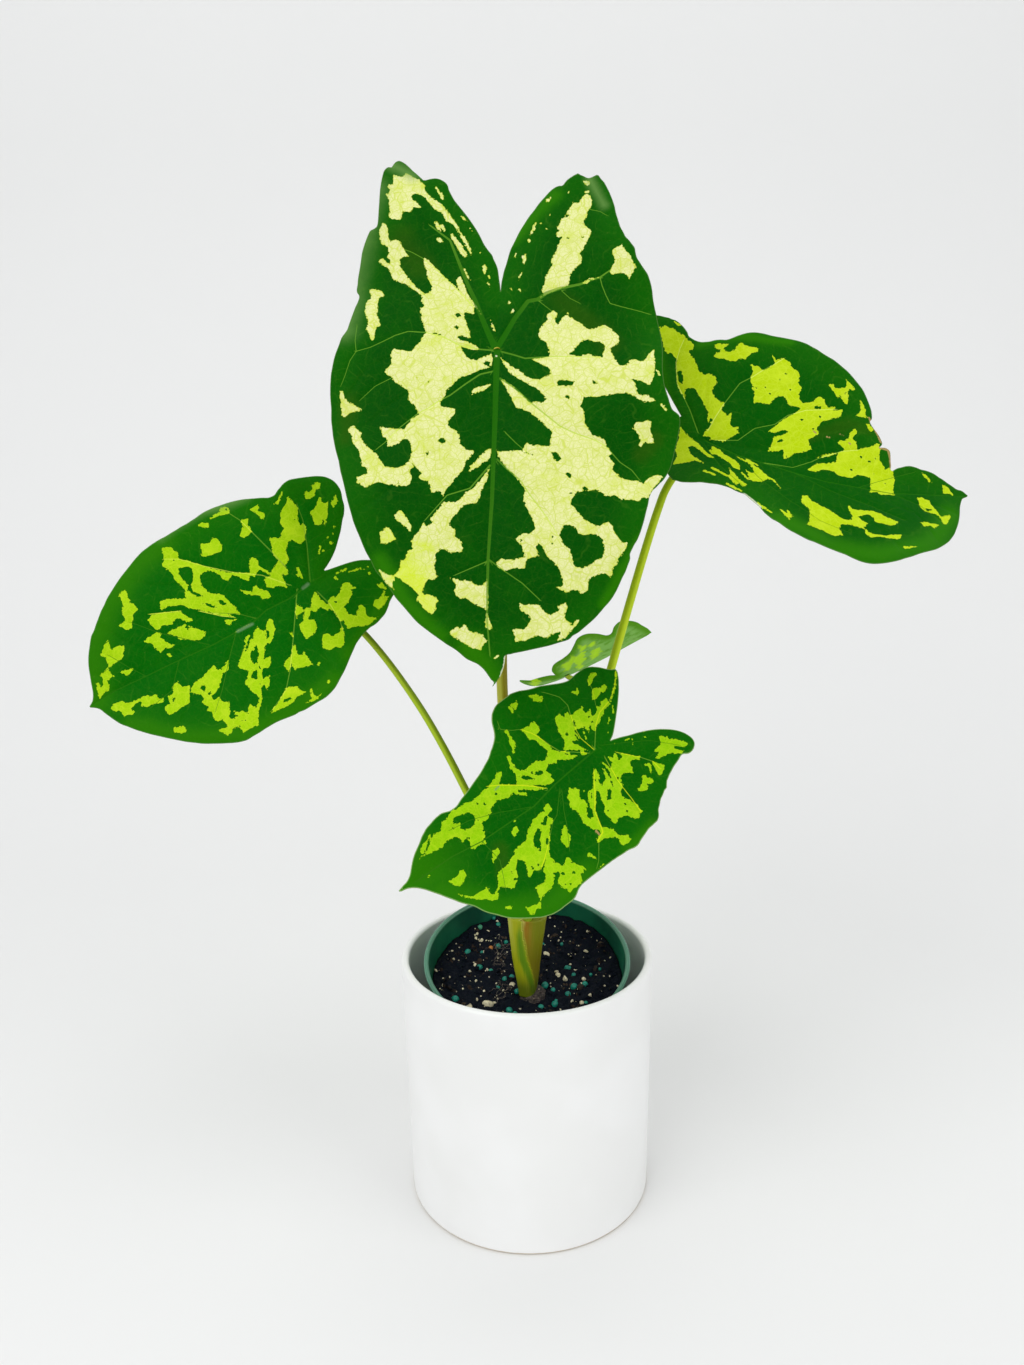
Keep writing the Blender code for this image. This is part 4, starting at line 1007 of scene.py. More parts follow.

# Leaf blades
# Thin heart-shaped blades with sunk veins: dark green, painted cream on the largest leaf and lime
# on the others. Each patch, hole, vein and fleck is drawn below in photograph pixels, and
# the script lays it on the leaf that it belongs to. The rear leaf stands nearly edge on.
# A semicolon ends each line drawn. A dot ends in its width, a vein opens with its half width and
# its paleness at both ends, and a touch opens with its kind and its half width. Some touches are
# painted light: a pale painted sheen, painted glints and painted highlights.
MARKS = {
    "centre": {
        "edge": """
500.5,291.5 501.4,283 502.2,279 504,271 506.2,264.4 508.4,256.5 510.4,250 513.7,243.3 516.3,238
519.6,231.5 523.6,225 528.8,217 534,210.4 539.4,203 544.6,197.2 550,191.3 555.2,187.3
559.2,185.8 562.4,185.6 564.4,183.3 567,180 569.7,178 573.7,175.4 576.3,174.1 578.3,173.2
580.2,174.8 583.5,176 586.8,177.7 589.5,178 592,177 594.7,175.8 596.7,174.8 598.7,175.4
600,177.4 602,180 604,182 606.6,186.6 609.3,192 612,198.5 614.5,205.8 616,213 618.5,221
620.5,227 623,231.5 625.7,236.7 629,240 631,242.7 633.6,246 635,248.6 635.6,252.6 637,257.8
639.6,261.8 642,265.7 644.8,269.7 647.5,273.7 649.5,279 651.2,285 652.4,291.5 653,298 653.8,303
655,309 656.5,315.5 658.5,325 660.6,334 662,342 662.8,350 662.8,358 662.7,366 663.2,375
664.6,385 666.8,393 668.8,399 670,403.5 671.6,407.8 673,410 675.5,412 677.6,413.6 679.6,416
680.3,421 680,427 679,432.4 678.2,437 677.4,442 676,446.5 674.9,451 673.8,456.4 672.7,460.7
671.6,465 670,469.5 667.8,473.3 666.2,476 663.5,479.8 659.6,483.6 656.4,487 653,490.2 651,493.5
649.4,497.3 648.3,503.6 646.4,511 644.5,519 642.4,526.4 640,533.6 637.3,540 634.5,544.5
631.3,551 630,554.5 630.2,559 628.2,564.5 625.5,571.8 622.2,578.2 619,585.5 616.4,591
612.7,597.3 609,602.4 604.5,607.3 600,612.7 594.5,618.7 589,623.6 583.6,628.2 578.2,632.7
572.7,635.8 570,638.7 566.4,640.5 560,642.4 550,645.5 540,647.8 530,650 521.7,651.8 515,653.1
509.8,654.4 506.5,654.8 505.2,656.8 504.8,660.8 504,666 502.3,671.3 500,676.6 497.3,680.6
495.3,683.5 492,687.1 494,682.5 491.3,680 488,675.3 484.7,670.7 480.8,666.7 476.8,663.7
471.5,661.4 466.3,658.8 462.3,655.5 457.7,651.5 453,648.2 446.5,644.3 440,639.7 433.3,635
428,631 422.7,627 418.8,623.8 414.8,620 409.6,614 405.6,609.3 401,604 397,599.5 394.4,596
390.5,590 386,583.5 381,577.5 375,570 370.3,560 366,552.4 362.6,544.7 359.5,537 356.3,529.5
353.3,521.8 351.2,514.2 349,506.5 347,499 345.2,491.3 343.5,483.6 341.6,476 340,469.6
338.5,460.7 336.3,453 334.6,445.5 333,436.5 332,427.6 331.2,419.8 331.2,409.6 330.6,402
330.2,395.6 330.2,386.7 330.6,379 331.2,372.7 332.2,367.6 334,358.7 336.5,351 339,344.7
341.6,337.7 345,333 347.5,329 349.5,323 352,316 355,308 358,301.5 359.3,297 358.5,294.5
357,292.5 356.8,289 357.5,285 358,279 359,273 360,267 361,260 362,253 364,246 366,240 368.5,234
370,231 371.5,230 374.5,228.5 377,226 378,220 378.5,212 379,205 379.5,197 380,190 381,183
382,178 383,174 384,171 386,168.5 388.5,167 391.5,167.3 393.5,164.5 396,161.8 399,160.8
402,161.8 406,164.3 410,168 413,171 417,174.3 421,178 424,180.3 428,179.5 432,178.7 436,178.4
440,179.3 443,180.8 446,183 448,186 449,190 452,196 455,201 459,206 463,211 467,216 471,221.5
476,229 480,236 484,244 488,250 492,255 494,260 496,264 498,270 499,278 500,285""",
        "touches": """
haze 30: 366,190 360,235 352,285 344,330; haze 16: 392,165 412,176; haze 12: 590,180 604,205;
fresh 24: 470,650 492,680; fresh 15: 380,560 405,602 440,636; fresh 10: 640,540 604,604; fresh
14: 512,240 530,220 555,195; dull 26: 400,240 420,265; dull 22: 560,300 600,330 610,345; dull
16: 350,400 345,440; dull 14: 640,455 655,440; lime 46: 396,545 412,578 428,610; drop 1.3:
496.3,355.7 496.6,355.7; drop 1: 505,657 504,666 500,677""",
        "patches": """
394,175 399,177 404,177 406,174 409,175 415,178 419,180 422,183 425,186 425,190 428,194 431,198
435,200 438,202 441,204 444,207 449,214 453,220 457,224 461,233 465,238 468,243 470,247 472,253
471,256 467,248 464,243 460,236 457,230 453,225 446,221 444,216 441,213 434,210 431,205 427,200
422,196 418,194 414,194 411,197 413,200 418,204 421,208 414,208 410,213 403,212 402,216 401,220
395,220 391,219 389,217 390,208 388,197 385,195 386,193 389,195 390,190 388,187 389,185 393,185;
435,186 437,188 440,192 443,195 445,200 442,200 440,196 437,193; 434,222 438,222 440,225 443,225
446,230 444,232 441,228 441,231 437,229; 436,240 439,237 441,238 443,242 440,243; 461,217
463,216 468,222 464,220; 469,228 471,229 473,233; 450,235 452,233 456,238 460,243 464,249
468,255 465,258 461,254 457,249 453,241; 463,267 465,269 468,275 471,281 468,279 465,273;
482,267 485,264 487,269 485,275 483,271; 487,276 489,275 491,279 489,280; 487,283 489,283
490,288; 383,223 386,225 388,230 389,238 391,242 396,240 400,242 404,249 409,256 403,258 400,260
400,265 404,273 409,279 416,287 424,293 424,300 420,294 414,290 405,284 395,281 392,278 391,273
387,268 378,262 383,258 387,263 391,264 390,260 387,257 389,253 388,247 382,244 380,239 379,234
380,228; 423,257 426,258 434,266 443,275 449,281 455,286 459,290 456,280 460,276 462,280 465,286
467,292 471,299 479,309 482,315 477,309 471,306 474,309 474,314 465,312 464,316 466,322 469,329
471,339 462,336 458,337 460,340 468,342 480,348 476,350 470,349 461,346 462,350 467,357 471,360
477,360 484,357 491,354 493,358 492,364 490,368 480,370 470,375 459,378 453,385 446,391 446,395
440,402 441,406 449,408 455,409 455,414 448,421 448,426 455,430 459,434 460,444 466,450 474,451
472,455 465,463 464,468 460,473 453,482 446,489 443,496 440,492 437,491 432,493 430,487 428,481
421,480 419,477 422,474 415,466 409,462 412,452 411,446 409,440 403,440 397,445 388,447 386,438
383,437 380,427 389,428 405,429 406,426 411,422 411,419 419,414 414,405 408,400 409,391 400,385
396,383 391,377 386,374 385,371 392,364 391,354 392,350 396,349 404,351 412,352 415,347 420,342
423,336 426,332 422,322 420,309 424,306 421,301 423,296 432,291 432,286 427,277 427,271 424,264;
348,430 351,427 354,426 359,431 362,433 360,437 364,443 371,450 377,454 379,459 386,467 398,468
404,466 409,461 413,464 414,468 409,470 412,478 410,483 407,486 401,486 398,481 398,486 391,485
377,482 371,485 366,488 361,485 357,483 357,477 367,474 368,469 362,466 361,459 359,451 353,444
352,437; 340,391 342,391 344,393 345,398 348,402 354,404 362,410 359,412 351,412 348,415 344,418
342,416 341,408; 369,290 374,289 378,290 382,292 386,296 379,298 378,304 378,309 377,315 379,320
381,326 376,328 375,337 373,341 370,338 369,333 366,330 368,325 368,320 366,316 365,311 366,306
368,301 371,299 371,294; 472,390 475,388 480,387 486,385 491,384 488,388 483,391 477,393
472,395; 491,448 491,456 489,460 484,462 478,467 469,472 470,467 474,463 480,456 486,451;
490,320 493,324 495,330 495,334 493,330; 490,466 488,473 487,480 481,491 480,497 476,503 469,504
463,506 455,515 449,523 451,528 456,530 455,536 461,541 463,549 462,553 456,552 451,553 447,551
446,549 440,549 435,556 436,562 434,569 438,577 434,580 429,579 425,584 422,594 434,596 439,601
436,604 436,609 434,613 431,614 424,608 417,600 419,594 411,587 406,584 400,578 393,576 399,571
401,560 405,560 408,551 413,550 411,541 418,532 424,523 427,526 433,522 430,519 436,511 444,502
455,502 460,500 465,493 474,487 483,477; 397,512 399,510 402,511 407,519 412,526 411,533 409,532
407,528 402,524 394,519 395,515; 379,533 384,530 386,527 390,528 392,533 396,539 390,542 385,544
381,544 381,539; 379,568 385,573 393,576 395,579 392,586 394,590 385,582 380,572; 448,577
456,579 463,581 467,580 471,581 478,586 483,585 486,581 487,578 488,583 488,618 493,627 490,630
486,628 485,622 487,612 484,608 474,604 465,598 460,599 456,596 454,591 456,585 453,580; 450,632
453,629 457,627 461,629 464,624 466,626 469,631 482,634 487,641 484,644 481,651 470,647 463,643
456,638 451,635; 493,659 496,656 501,654 499,657; 582,182 587,181 590,181 590,184 588,187;
584,192 589,191 589,193 585,194; 585,195 588,194 590,196 592,201 591,206 588,210 587,213 588,215
583,223 586,226 589,229 592,232 590,235 588,241 585,246 580,254 582,260 580,265 577,267 573,271
570,276 569,284 566,286 555,290 540,297 543,293 542,289 544,285 546,276 551,268 552,264 551,260
556,252 558,245 561,240 562,237 559,238 556,237 557,233 560,231 557,228 562,219 566,215 571,206
573,203 578,203 581,200 583,197; 582,283 587,284 590,280 600,277 590,278; 613,249 618,247
622,245 626,251 630,253 631,258 636,267 634,271 629,279 625,274 618,273 611,275 610,271 615,261
614,256 612,252; 545,203 547,199 552,197 549,202; 566,195 568,192 570,192; 530,235 532,230
535,223 537,223 535,229 533,234; 514,257 516,253 517,254 515,258; 521,257 524,255 526,254
526,261 523,266 523,261; 518,281 520,274 522,272 521,277; 510,289 512,287 512,291; 518,290
521,289 521,293; 510,314 513,309 515,311 512,314; 500,357 505,361 512,367 519,370 526,376
533,379 540,380 545,377 550,375 551,371 549,368 543,365 537,362 531,359 540,358 549,356 549,350
546,343 540,339 538,334 540,329 544,324 548,320 546,316 550,312 553,310 558,315 555,319 555,323
558,325 562,319 566,315 569,312 568,316 573,319 580,323 584,327 589,329 594,329 598,327 604,325
609,328 618,335 619,341 617,345 610,349 612,353 617,363 621,366 625,366 629,363 630,360 635,360
640,362 644,361 650,353 654,350 655,363 654,376 652,382 649,385 645,383 636,380 632,380 635,384
638,394 643,395 648,395 656,401 650,402 644,402 635,397 630,394 622,393 610,395 598,397 584,397
582,402 580,406 584,411 585,424 589,430 593,435 600,437 604,440 606,445 612,453 608,456 614,464
612,469 620,477 624,480 636,481 641,482 643,484 645,481 649,478 656,475 663,477 654,488 648,499
644,497 638,502 633,500 622,500 614,495 610,497 605,496 600,492 596,490 589,491 577,492 571,501
572,506 577,511 584,519 594,525 600,527 604,524 608,522 612,525 613,530 618,538 622,542 625,543
628,542 625,551 619,558 617,564 612,570 613,574 611,577 603,573 592,577 588,581 588,590 584,592
581,595 578,590 571,591 568,593 560,589 556,587 560,587 563,585 563,581 560,571 554,562 550,560
543,550 543,547 540,544 537,544 536,547 539,556 527,559 524,569 516,568 506,571 501,569 497,566
497,562 500,559 513,560 525,557 522,547 516,539 519,536 523,533 528,534 536,529 534,522 528,511
523,499 526,490 516,477 505,466 498,456 496,449 500,452 511,451 521,450 524,447 527,443 530,445
541,446 550,446 550,440 553,433 550,430 540,421 533,415 527,411 517,408 513,402 508,392 503,383
500,377 510,384 520,393 530,402 538,402 543,403 546,399 540,391 534,387 519,379 512,375 507,369;
633,429 634,425 637,422 643,422 646,420 651,421 650,428 653,438 653,444 648,443 643,443 641,447
638,446 640,441 639,436 636,432; 660,404 663,404 667,410 665,412; 656,370 659,372 660,376
657,374; 519,603 523,605 532,604 539,605 545,612 549,615 556,612 559,610 558,606 562,604 566,603
568,607 565,613 565,618 571,623 570,626 573,625 578,618 579,621 574,628 568,634 565,638 560,641
557,641 559,638 560,632 551,635 545,639 541,636 536,636 530,638 524,641 514,642 516,638 512,629
523,629 527,627 531,620 529,616 521,611""",
        "holes": """
570,354 574,350 577,346 581,342 588,340 595,342 600,342 605,346 604,350 602,357 588,354 578,356;
557,383 560,380 567,381 574,382 572,386 558,386; 592,381 595,381 598,384 594,384; 563,398
566,396 570,396 569,399; 551,453 556,452 559,456 561,460 557,462 554,459; 565,473 568,472
571,474 570,478; 582,487 585,486 588,489 585,491; 569,492 572,493 570,494; 521,450 527,452
533,455 528,454; 560,535 561,530 564,526 568,525 573,526 577,530 578,533 582,535 593,534 598,536
602,539 605,550 602,559 598,559 591,564 583,568 575,567 571,554 570,548 566,547 562,541; 454,327
457,326 460,327 457,330; 438,441 440,439 444,438 446,441 444,443 441,444; 425,453 428,452
429,454 427,456; 455,314 458,313 461,316 457,318; 433,333 438,333 442,335; 483,363 487,361
491,362 489,366 485,366""",
        "dark dots": """
567,216,1.5 521,541,1 552,543,1 553,537,1 568,238,1 583,237,1 440,390,1 417,378,1 429,382,1""",
        "pale dots": """
550,215,0.8 541,224,0.8 547,229,0.8 529,241,1.6 509,303,1.3 480,253,0.8 496,356,1.4""",
        "veins": """
3.2 0.6 0.08 0.45: 497,352 495,420 492,500 488,560 487,620 490,655; 3.2 0.6 0.10 0.50: 495,348
487,330 482,318 475,300 468,285 462,270 450,240 430,225; 0.5 0.3 0.70 0.60: 472,305 455,287
437,270 423,258 412,252 404,249; 3.2 0.6 0.10 0.60: 497,348 505,335 515,318 528,301 538,299
546,293 560,288 580,284 590,280 600,277 610,270; 0.4 0.3 0.60 0.60: 600,277 602,285 606,295
610,303 620,306 640,311 650,314; 0.3 0.2 0.60 0.60: 560,289 570,298 580,303; 0.3 0.2 0.60 0.60:
538,300 552,311; 0.3 0.2 0.60 0.60: 590,209 600,211 607,215; 0.8 0.3 0.50 0.60: 493,350 480,349
460,345 442,336 425,332 408,331 395,335 383,341 370,347 356,351; 0.3 0.2 0.60 0.60: 356,351
355,340 357,325; 0.3 0.2 0.60 0.60: 356,351 350,360 345,375 341,385; 0.8 0.3 0.50 0.60: 493,371
480,374 465,384 450,395 440,400 428,408 418,413 400,427 385,442 376,449; 0.3 0.2 0.60 0.60:
391,378 375,386 360,400; 0.8 0.3 0.50 0.60: 490,465 470,488 447,495 440,503 425,520; 0.5 0.3
0.50 0.60: 490,560 455,575; 0.9 0.3 0.40 0.60: 500,351 512,354 525,358 556,356 602,357; 0.9 0.3
0.40 0.60: 500,378 515,388 530,402 545,414 560,426 575,433 595,440 606,446 620,462 632,470
640,480; 0.8 0.3 0.40 0.60: 497,459 505,467 520,480 530,495 543,512 553,527 560,540; 0.4 0.2
0.50 0.60: 505,432 515,442 530,455; 0.6 0.3 0.40 0.60: 490,560 500,568 522,583 540,600""",
    },
    "left": {
        "edge": """
392.4,596.6 389.8,601.7 388.7,605.4 387.5,608.5 385.3,613.3 381.5,618 376,623.7 370.6,627
366.6,630.6 363.3,634 360.7,637.3 358.7,640 356,644.2 353.7,649.5 351,655.4 348.8,660.7
346.6,666 344.2,671.2 341,677 338.2,682.4 335.6,687 332.3,691 328.4,695 324.4,698.2 319,701.3
313.8,704.4 310,706.8 304.6,710 299.3,712 295.4,714.5 290,716.7 284.8,718.7 279.6,720.7
274.3,723.3 269.7,726 265,728.8 261,731.6 256.5,734.2 252.5,736.5 249.4,738.6 245.5,740.5
240,741.9 234.2,742.8 225.5,743.3 218,743.6 203.6,743.7 195,742.8 187.6,742 181.8,741
174.5,739.5 167.3,738 158.5,736 149.8,734 141,731.4 135.3,729.6 128,726.7 120.7,724 115,720.5
109.8,716.8 104.7,713 100.4,709.6 96,708 91.6,707.5 89.2,707 91,704 92.4,701.3 93,697 92.8,692
92,687.5 91,682.4 90,676 89,670 88.4,664.2 88.3,658.4 88.7,652.5 89.5,646.7 90.5,639.5 91.6,635
93.8,630.7 96,624.2 98.2,618.4 101,611 104,605.3 106.4,599.6 109.5,594.2 112.5,589.4 115.5,584.7
119,579.4 122.6,574.6 126,570.3 130.2,565 133.8,560.4 138,555.7 142,551.6 146.2,548.4 151,544.8
156.3,541.3 161,538.6 165.7,536.2 170.4,533.2 175.8,530 181,526.7 186.4,523.8 191,520.8
195.3,518 199.4,515 204,512 209,509.6 213.6,507.6 219,505.7 224.8,503.7 230.7,501.9 237,500.4
243,499.3 249.5,498.7 256,498.2 261.8,497.7 267.6,497.7 271.3,496.7 274.6,494.8 276.4,492
278.5,489 280,487.5 282.2,484.6 285,482.2 288.7,480 292.4,479 298.2,478 304,477.2 309.8,476.5
315.6,476 321.5,476.2 325.8,477 330.2,478.8 333.8,481 336.7,484 339.2,487.5 340.7,490.5
341.8,494.8 342.5,499.2 344,504.3 344.4,508.6 344,514.5 342.8,518.8 341.8,524.6 340.8,530.5
339.3,536.3 337.7,542 336,548 334.3,552.3 332.4,556.6 330,561 327.3,565.4 325,568.6 324,570.5""",
        "touches": """
glint 2.8: 303,588 308,584; glint 3: 238,631 252,624; haze 14: 160,535 200,511 245,496; fresh
26: 95,700 92,650 105,605 130,570 160,545; fresh 16: 130,725 190,738 250,735 300,708 335,680;
fresh 14: 390,600 375,620 350,655""",
        "patches": """
118,597 121,592 125,590 127,593 128,597 130,600 130,603 133,604 136,607 138,610 135,613 133,616
134,619 132,622 132,627 130,630 126,630 119,626 125,620 124,616 122,612 123,607 121,598; 210,519
216,514 220,512 220,508 225,507 229,509 229,513 219,516; 198,526 201,523 208,523 209,528
205,528; 201,544 206,544 210,543 212,538 216,538 219,542 222,545 222,552 216,553 206,557 202,556
201,550; 162,549 166,547 170,547 174,550 178,554 179,559 186,560 195,563 205,566 215,569 226,572
232,572 245,573 245,580 236,576 232,575 228,581 223,579 220,575 211,571 206,571 202,573 200,577
202,586 208,592 212,594 219,594 224,596 228,600 236,608 240,614 226,613 234,617 222,616 213,613
204,611 196,609 190,609 184,605 178,605 166,607 163,610 160,608 160,601 170,599 185,599 186,598
185,591 179,583 175,580 173,575 169,571 162,565 164,561; 225,620 237,619 231,622 231,625
226,624; 148,620 152,615 160,613 170,612 180,611 182,614 190,618 193,621 187,622 178,618 172,622
173,624 162,626 161,629 155,629 149,622; 167,633 172,630 177,628 185,624 190,627 196,628 201,630
206,632 204,636 201,639 194,640 188,639 180,640 177,636 171,635; 144,642 148,638 153,635 156,632
161,633 160,638 164,640 168,643 175,645 171,648 165,648 161,653 155,648 152,644; 166,653 169,653
172,656 170,657; 101,655 103,650 104,646 107,642 109,640 110,646 112,650 114,648 119,646 124,646
125,650 122,660 116,662 109,668 108,663 106,658; 100,676 104,672 108,668 110,672 114,676 107,681
110,686 109,690 104,693 99,699 97,687 96,683 99,682 101,687 104,684 103,678; 120,672 125,670
130,669 134,668 131,673 128,676; 111,709 113,705 117,703 122,701 126,703 131,702 140,699 145,696
151,696 157,694 158,698 163,698 164,702 152,704 147,707 142,706 142,702 138,702 134,706 131,709
135,712 133,715 128,715 125,717 120,710 115,712; 171,687 174,684 178,681 180,685 184,687 190,686
190,703 181,708 173,714 169,715 165,709 167,705 171,703 168,697 174,692; 173,728 178,727 184,726
187,730 185,733 175,733; 257,626 260,629 264,631 266,630 267,624 268,619 270,618 273,621 275,628
274,634 273,639 270,644 267,643 265,647 265,655 264,659 271,656 271,661 270,667 263,669 262,674
263,680 270,675 269,686 267,690 263,684 261,688 262,700 261,705 258,716 259,725 248,730 243,733
240,726 233,729 232,733 228,736 225,733 218,731 229,726 227,724 223,720 218,722 214,718 211,712
207,711 210,707 202,703 204,698 201,695 191,693 192,688 195,683 204,676 211,668 214,665 217,670
221,670 225,665 228,659 229,667 227,672 223,673 219,687 217,691 211,697 214,701 219,697 222,701
229,702 230,711 229,716 231,719 236,718 234,711 238,713 242,710 249,714 248,709 250,704 256,708
259,703 259,698 257,694 254,694 250,689 245,683 247,679 249,671 240,669 238,666 243,652 245,645
245,638 250,634 245,652 249,648 250,640 253,639 254,633 256,629; 289,633 292,631 293,637;
293,643 296,647 297,654 302,656 304,652 308,658 313,665 300,668 295,670 292,664 289,672 286,669
284,664 287,659 291,657 292,650; 299,624 303,622 304,612 308,612 308,620 314,620 317,627 315,633
311,636 306,640 303,634 301,630; 311,600 313,596 315,592 318,595 321,600 329,605 328,600 331,597
336,597 340,592 342,585 345,583 349,583 353,587 356,588 351,590 352,594 348,603 344,607 348,614
357,616 356,612 359,610 359,606 362,605 365,608 366,614 369,618 378,617 370,624 364,626 352,627
348,629 343,620 340,621 334,611 329,609 328,612 320,607 316,612 311,611 308,620 304,620 304,612
298,615 297,619 295,613 297,603 299,607 302,606 303,611 307,608 312,607; 322,640 323,635 328,634
332,637 336,634 340,632 342,625 344,633 344,644 341,648 336,647 333,649 329,651 323,648; 373,606
374,601 379,599 382,596 383,591 385,592 384,597 389,596 384,605 382,608 378,610; 377,585 382,583
388,590 380,588; 270,713 278,702 281,697 286,688 288,690 288,687 297,686 300,690 306,692 301,695
296,697 294,702 285,707 276,711; 310,689 312,688 314,694 317,697 322,693 318,699 312,701 306,703
312,699; 304,495 306,491 308,493 313,489 311,486 315,483 320,482 320,488 316,490 314,496 310,499
306,499; 310,512 314,509 316,506 318,499 320,496 322,503 325,504 328,502 327,517 325,526 322,523
319,526 315,525 313,520; 330,503 333,500 335,495 338,501 333,508; 273,504 277,501 280,496
282,491 283,493 278,505; 250,510 253,507 258,505 259,508 257,511 265,514 264,520 261,519
256,513; 288,496 291,500 297,506 298,510 298,520 300,525 303,523 306,526 306,532 304,542 299,544
292,540 288,542 286,550 289,561 285,564 289,575 281,574 286,583 287,588 280,586 272,588 267,587
264,581 266,577 271,575 260,570 256,573 255,577 250,576 249,581 240,578 240,574 250,572 249,561
252,557 257,560 259,566 271,573 277,562 278,560 271,551 273,547 270,543 270,538 281,538 281,533
284,529 280,523 281,511 286,503; 253,587 256,586 260,589 268,591 271,597 269,599 262,599 260,596
245,594 240,590 252,592; 240,520 249,518 247,524 252,531 249,535 244,538 240,536 243,527;
296,567 299,568 303,579 296,575 298,574; 334,578 336,576 338,580 335,580; 367,573 370,572
372,573 369,575; 334,574 346,568 347,570 335,575; 348,572 361,567 361,569 349,573; 319,546
321,546 320,554 318,554""",
        "holes": """
179,568 184,567 190,567 193,571 194,577 191,587 194,592 203,596 198,597 190,592 187,590 188,585
184,581 179,575; 203,604 206,603 212,605 218,607 211,608; 217,602 221,600 228,605 224,606;
185,627 190,628 188,630; 172,700 173,697 176,699 174,703; 266,635 267,630 269,631 269,637
267,639; 251,652 254,650 256,644 259,654 257,663 254,665 250,656; 258,663 261,669 259,669;
251,676 254,672 257,670 257,679 250,678; 259,683 261,682 261,685; 236,716 238,714 238,718;
241,721 246,720 246,722; 200,688 203,685 207,688 205,692; 208,694 211,691 211,696; 334,601
337,602 336,604; 282,703 285,699 290,697 291,699 287,702; 322,519 325,521 323,523""",
        "dark dots": "226,510,1 174,560,0.8 301,660,0.8 228,690,0.8 295,520,0.8",
        "pale dots": """
319,664,1.6 329,682,1.6 364,569,1 368,567,1 334,527,1.3 333,534,1 328,538,1 331,543,1.6
323,551,1.3""",
        "veins": """
0.9 0.4 0.10 0.20: 307,586 288,599 266,610 253,622 236,632 212,645 179,660 146,676 114,691
90,706; 0.5 0.2 1.00 1.00: 253,622 245,626 235,632; 0.8 0.3 0.35 0.45: 310,580 307,545 303,520
297,504; 0.7 0.3 0.40 0.80: 285,566 271,551 252,532 240,520 229,513; 0.5 0.3 0.80 1.00: 290,585
262,575 232,572 204,566 179,559 164,559; 0.4 0.3 1.00 1.00: 150,614 180,611; 0.4 0.3 1.00 1.00:
200,611 222,616 234,617; 0.6 0.3 0.50 0.60: 297,590 293,640 290,670 286,690 273,709; 0.6 0.3
0.50 0.60: 318,592 330,604 340,620 343,630; 0.4 0.3 0.35 0.35: 257,618 240,614 226,613 213,613;
0.4 0.2 0.25 0.35: 236,632 230,655 222,690 215,712; 0.4 0.2 0.20 0.30: 179,660 172,690 150,708;
0.4 0.2 0.20 0.30: 212,645 190,640 160,633 130,622; 0.3 0.2 0.20 0.30: 146,676 130,668 108,655""",
    },
    "right": {
        "edge": """
655,315 659.6,315.6 664.3,316.7 669,317.8 672.2,319.2 675,320 677.3,321.4 679.4,322.8 681,324.4
683,326.3 684.7,328.3 686,330.2 687.5,332.5 688.6,335.8 690,337.2 692.2,338.6 695,340.2
697.8,341.2 701.5,342 706,341.8 709.8,341.4 713.6,340.4 717.3,339.8 721,339.5 725.6,339.8
729.4,339 733,337.6 736.8,336 740.5,334.7 744.2,333.6 748,332.7 752.6,332.3 757.2,332.5
762,333.2 766.5,334.2 771.2,335.5 775.8,336.4 780.5,337.2 785,338 790,339 794.4,339.9
799.5,341.2 806.4,343.6 811.8,346.6 817.3,349.5 822.7,353.2 828.2,356.6 833.6,359.7 838.4,363.4
843.2,367.5 847.3,371 851.4,375.3 855.5,380.2 859.5,385.2 863,390 865.7,395.5 868,401
869.8,405.7 871.4,411 872,416 871.8,419.3 870,421.5 871,424.5 873.5,428.2 876,431.6 878.6,435.3
880,437.7 881,440 882.2,443 881.7,445.4 879.5,447.6 884,447.7 886.8,448.6 889.4,450.6 890.4,454
890.6,461 891,466.4 890.6,469.2 892.2,471 894,469.7 897,468.4 901.5,467.3 905.8,466.2 909.5,466
913,466.6 917,467.8 921,469.5 925.5,470.5 930,472 934.2,474 938.5,477 943,479.8 947.3,483
951.6,485.8 956,489 958.7,490 961.5,490.7 964.2,492.6 966.4,494.5 967.8,496.2 965.3,496.4
963,498.4 961.5,501 960.6,504.4 960,508 959.8,514.2 959,520.7 957.6,526.2 956,530.5 954.4,534.4
952.2,537.6 949.5,541 946.2,543.6 941.8,546.4 936.4,549 930,550.7 921,553 912.4,556 905.8,557.8
899.8,559.8 890,562 880,563.3 871.5,563.4 863,561.8 857.4,559.8 851.8,557.3 846.2,554.5
840.5,552.4 835,550.3 829.2,548 822.2,545 815,541.8 808,539.3 801,535.7 794,532 789.7,529.8
784,526 778.5,522 772.8,519 770,517 767.2,514.7 764.4,512.2 760.8,508 757.3,504.4 753,501
748.8,497.4 744.6,493.8 740.4,492.4 734.7,490 729,487.2 722,485 716.4,483.7 709.4,483 702.3,482
695.3,482 688.2,482 681.2,481.6 676.2,480.2 672.7,479.7 670.6,477 668.5,474.8""",
        "touches": """
scar 1.2: 869,418 873,426 877,434 881,443; scar 1.6: 880,448 888,450 890,458 891,468; scar 0.8:
812,431 816,433; scar 0.8: 826,437 830,438; scar 0.8: 840,434 843,436; scar 0.8: 848,443
850,444; drop 2: 744,494 752,500 760,507; fresh 24: 780,520 830,545 880,555 930,545 952,515;
dull 14: 800,440 850,425 868,430; fresh 10: 700,345 740,336 790,342; fresh 12: 655,330 662,380
672,430""",
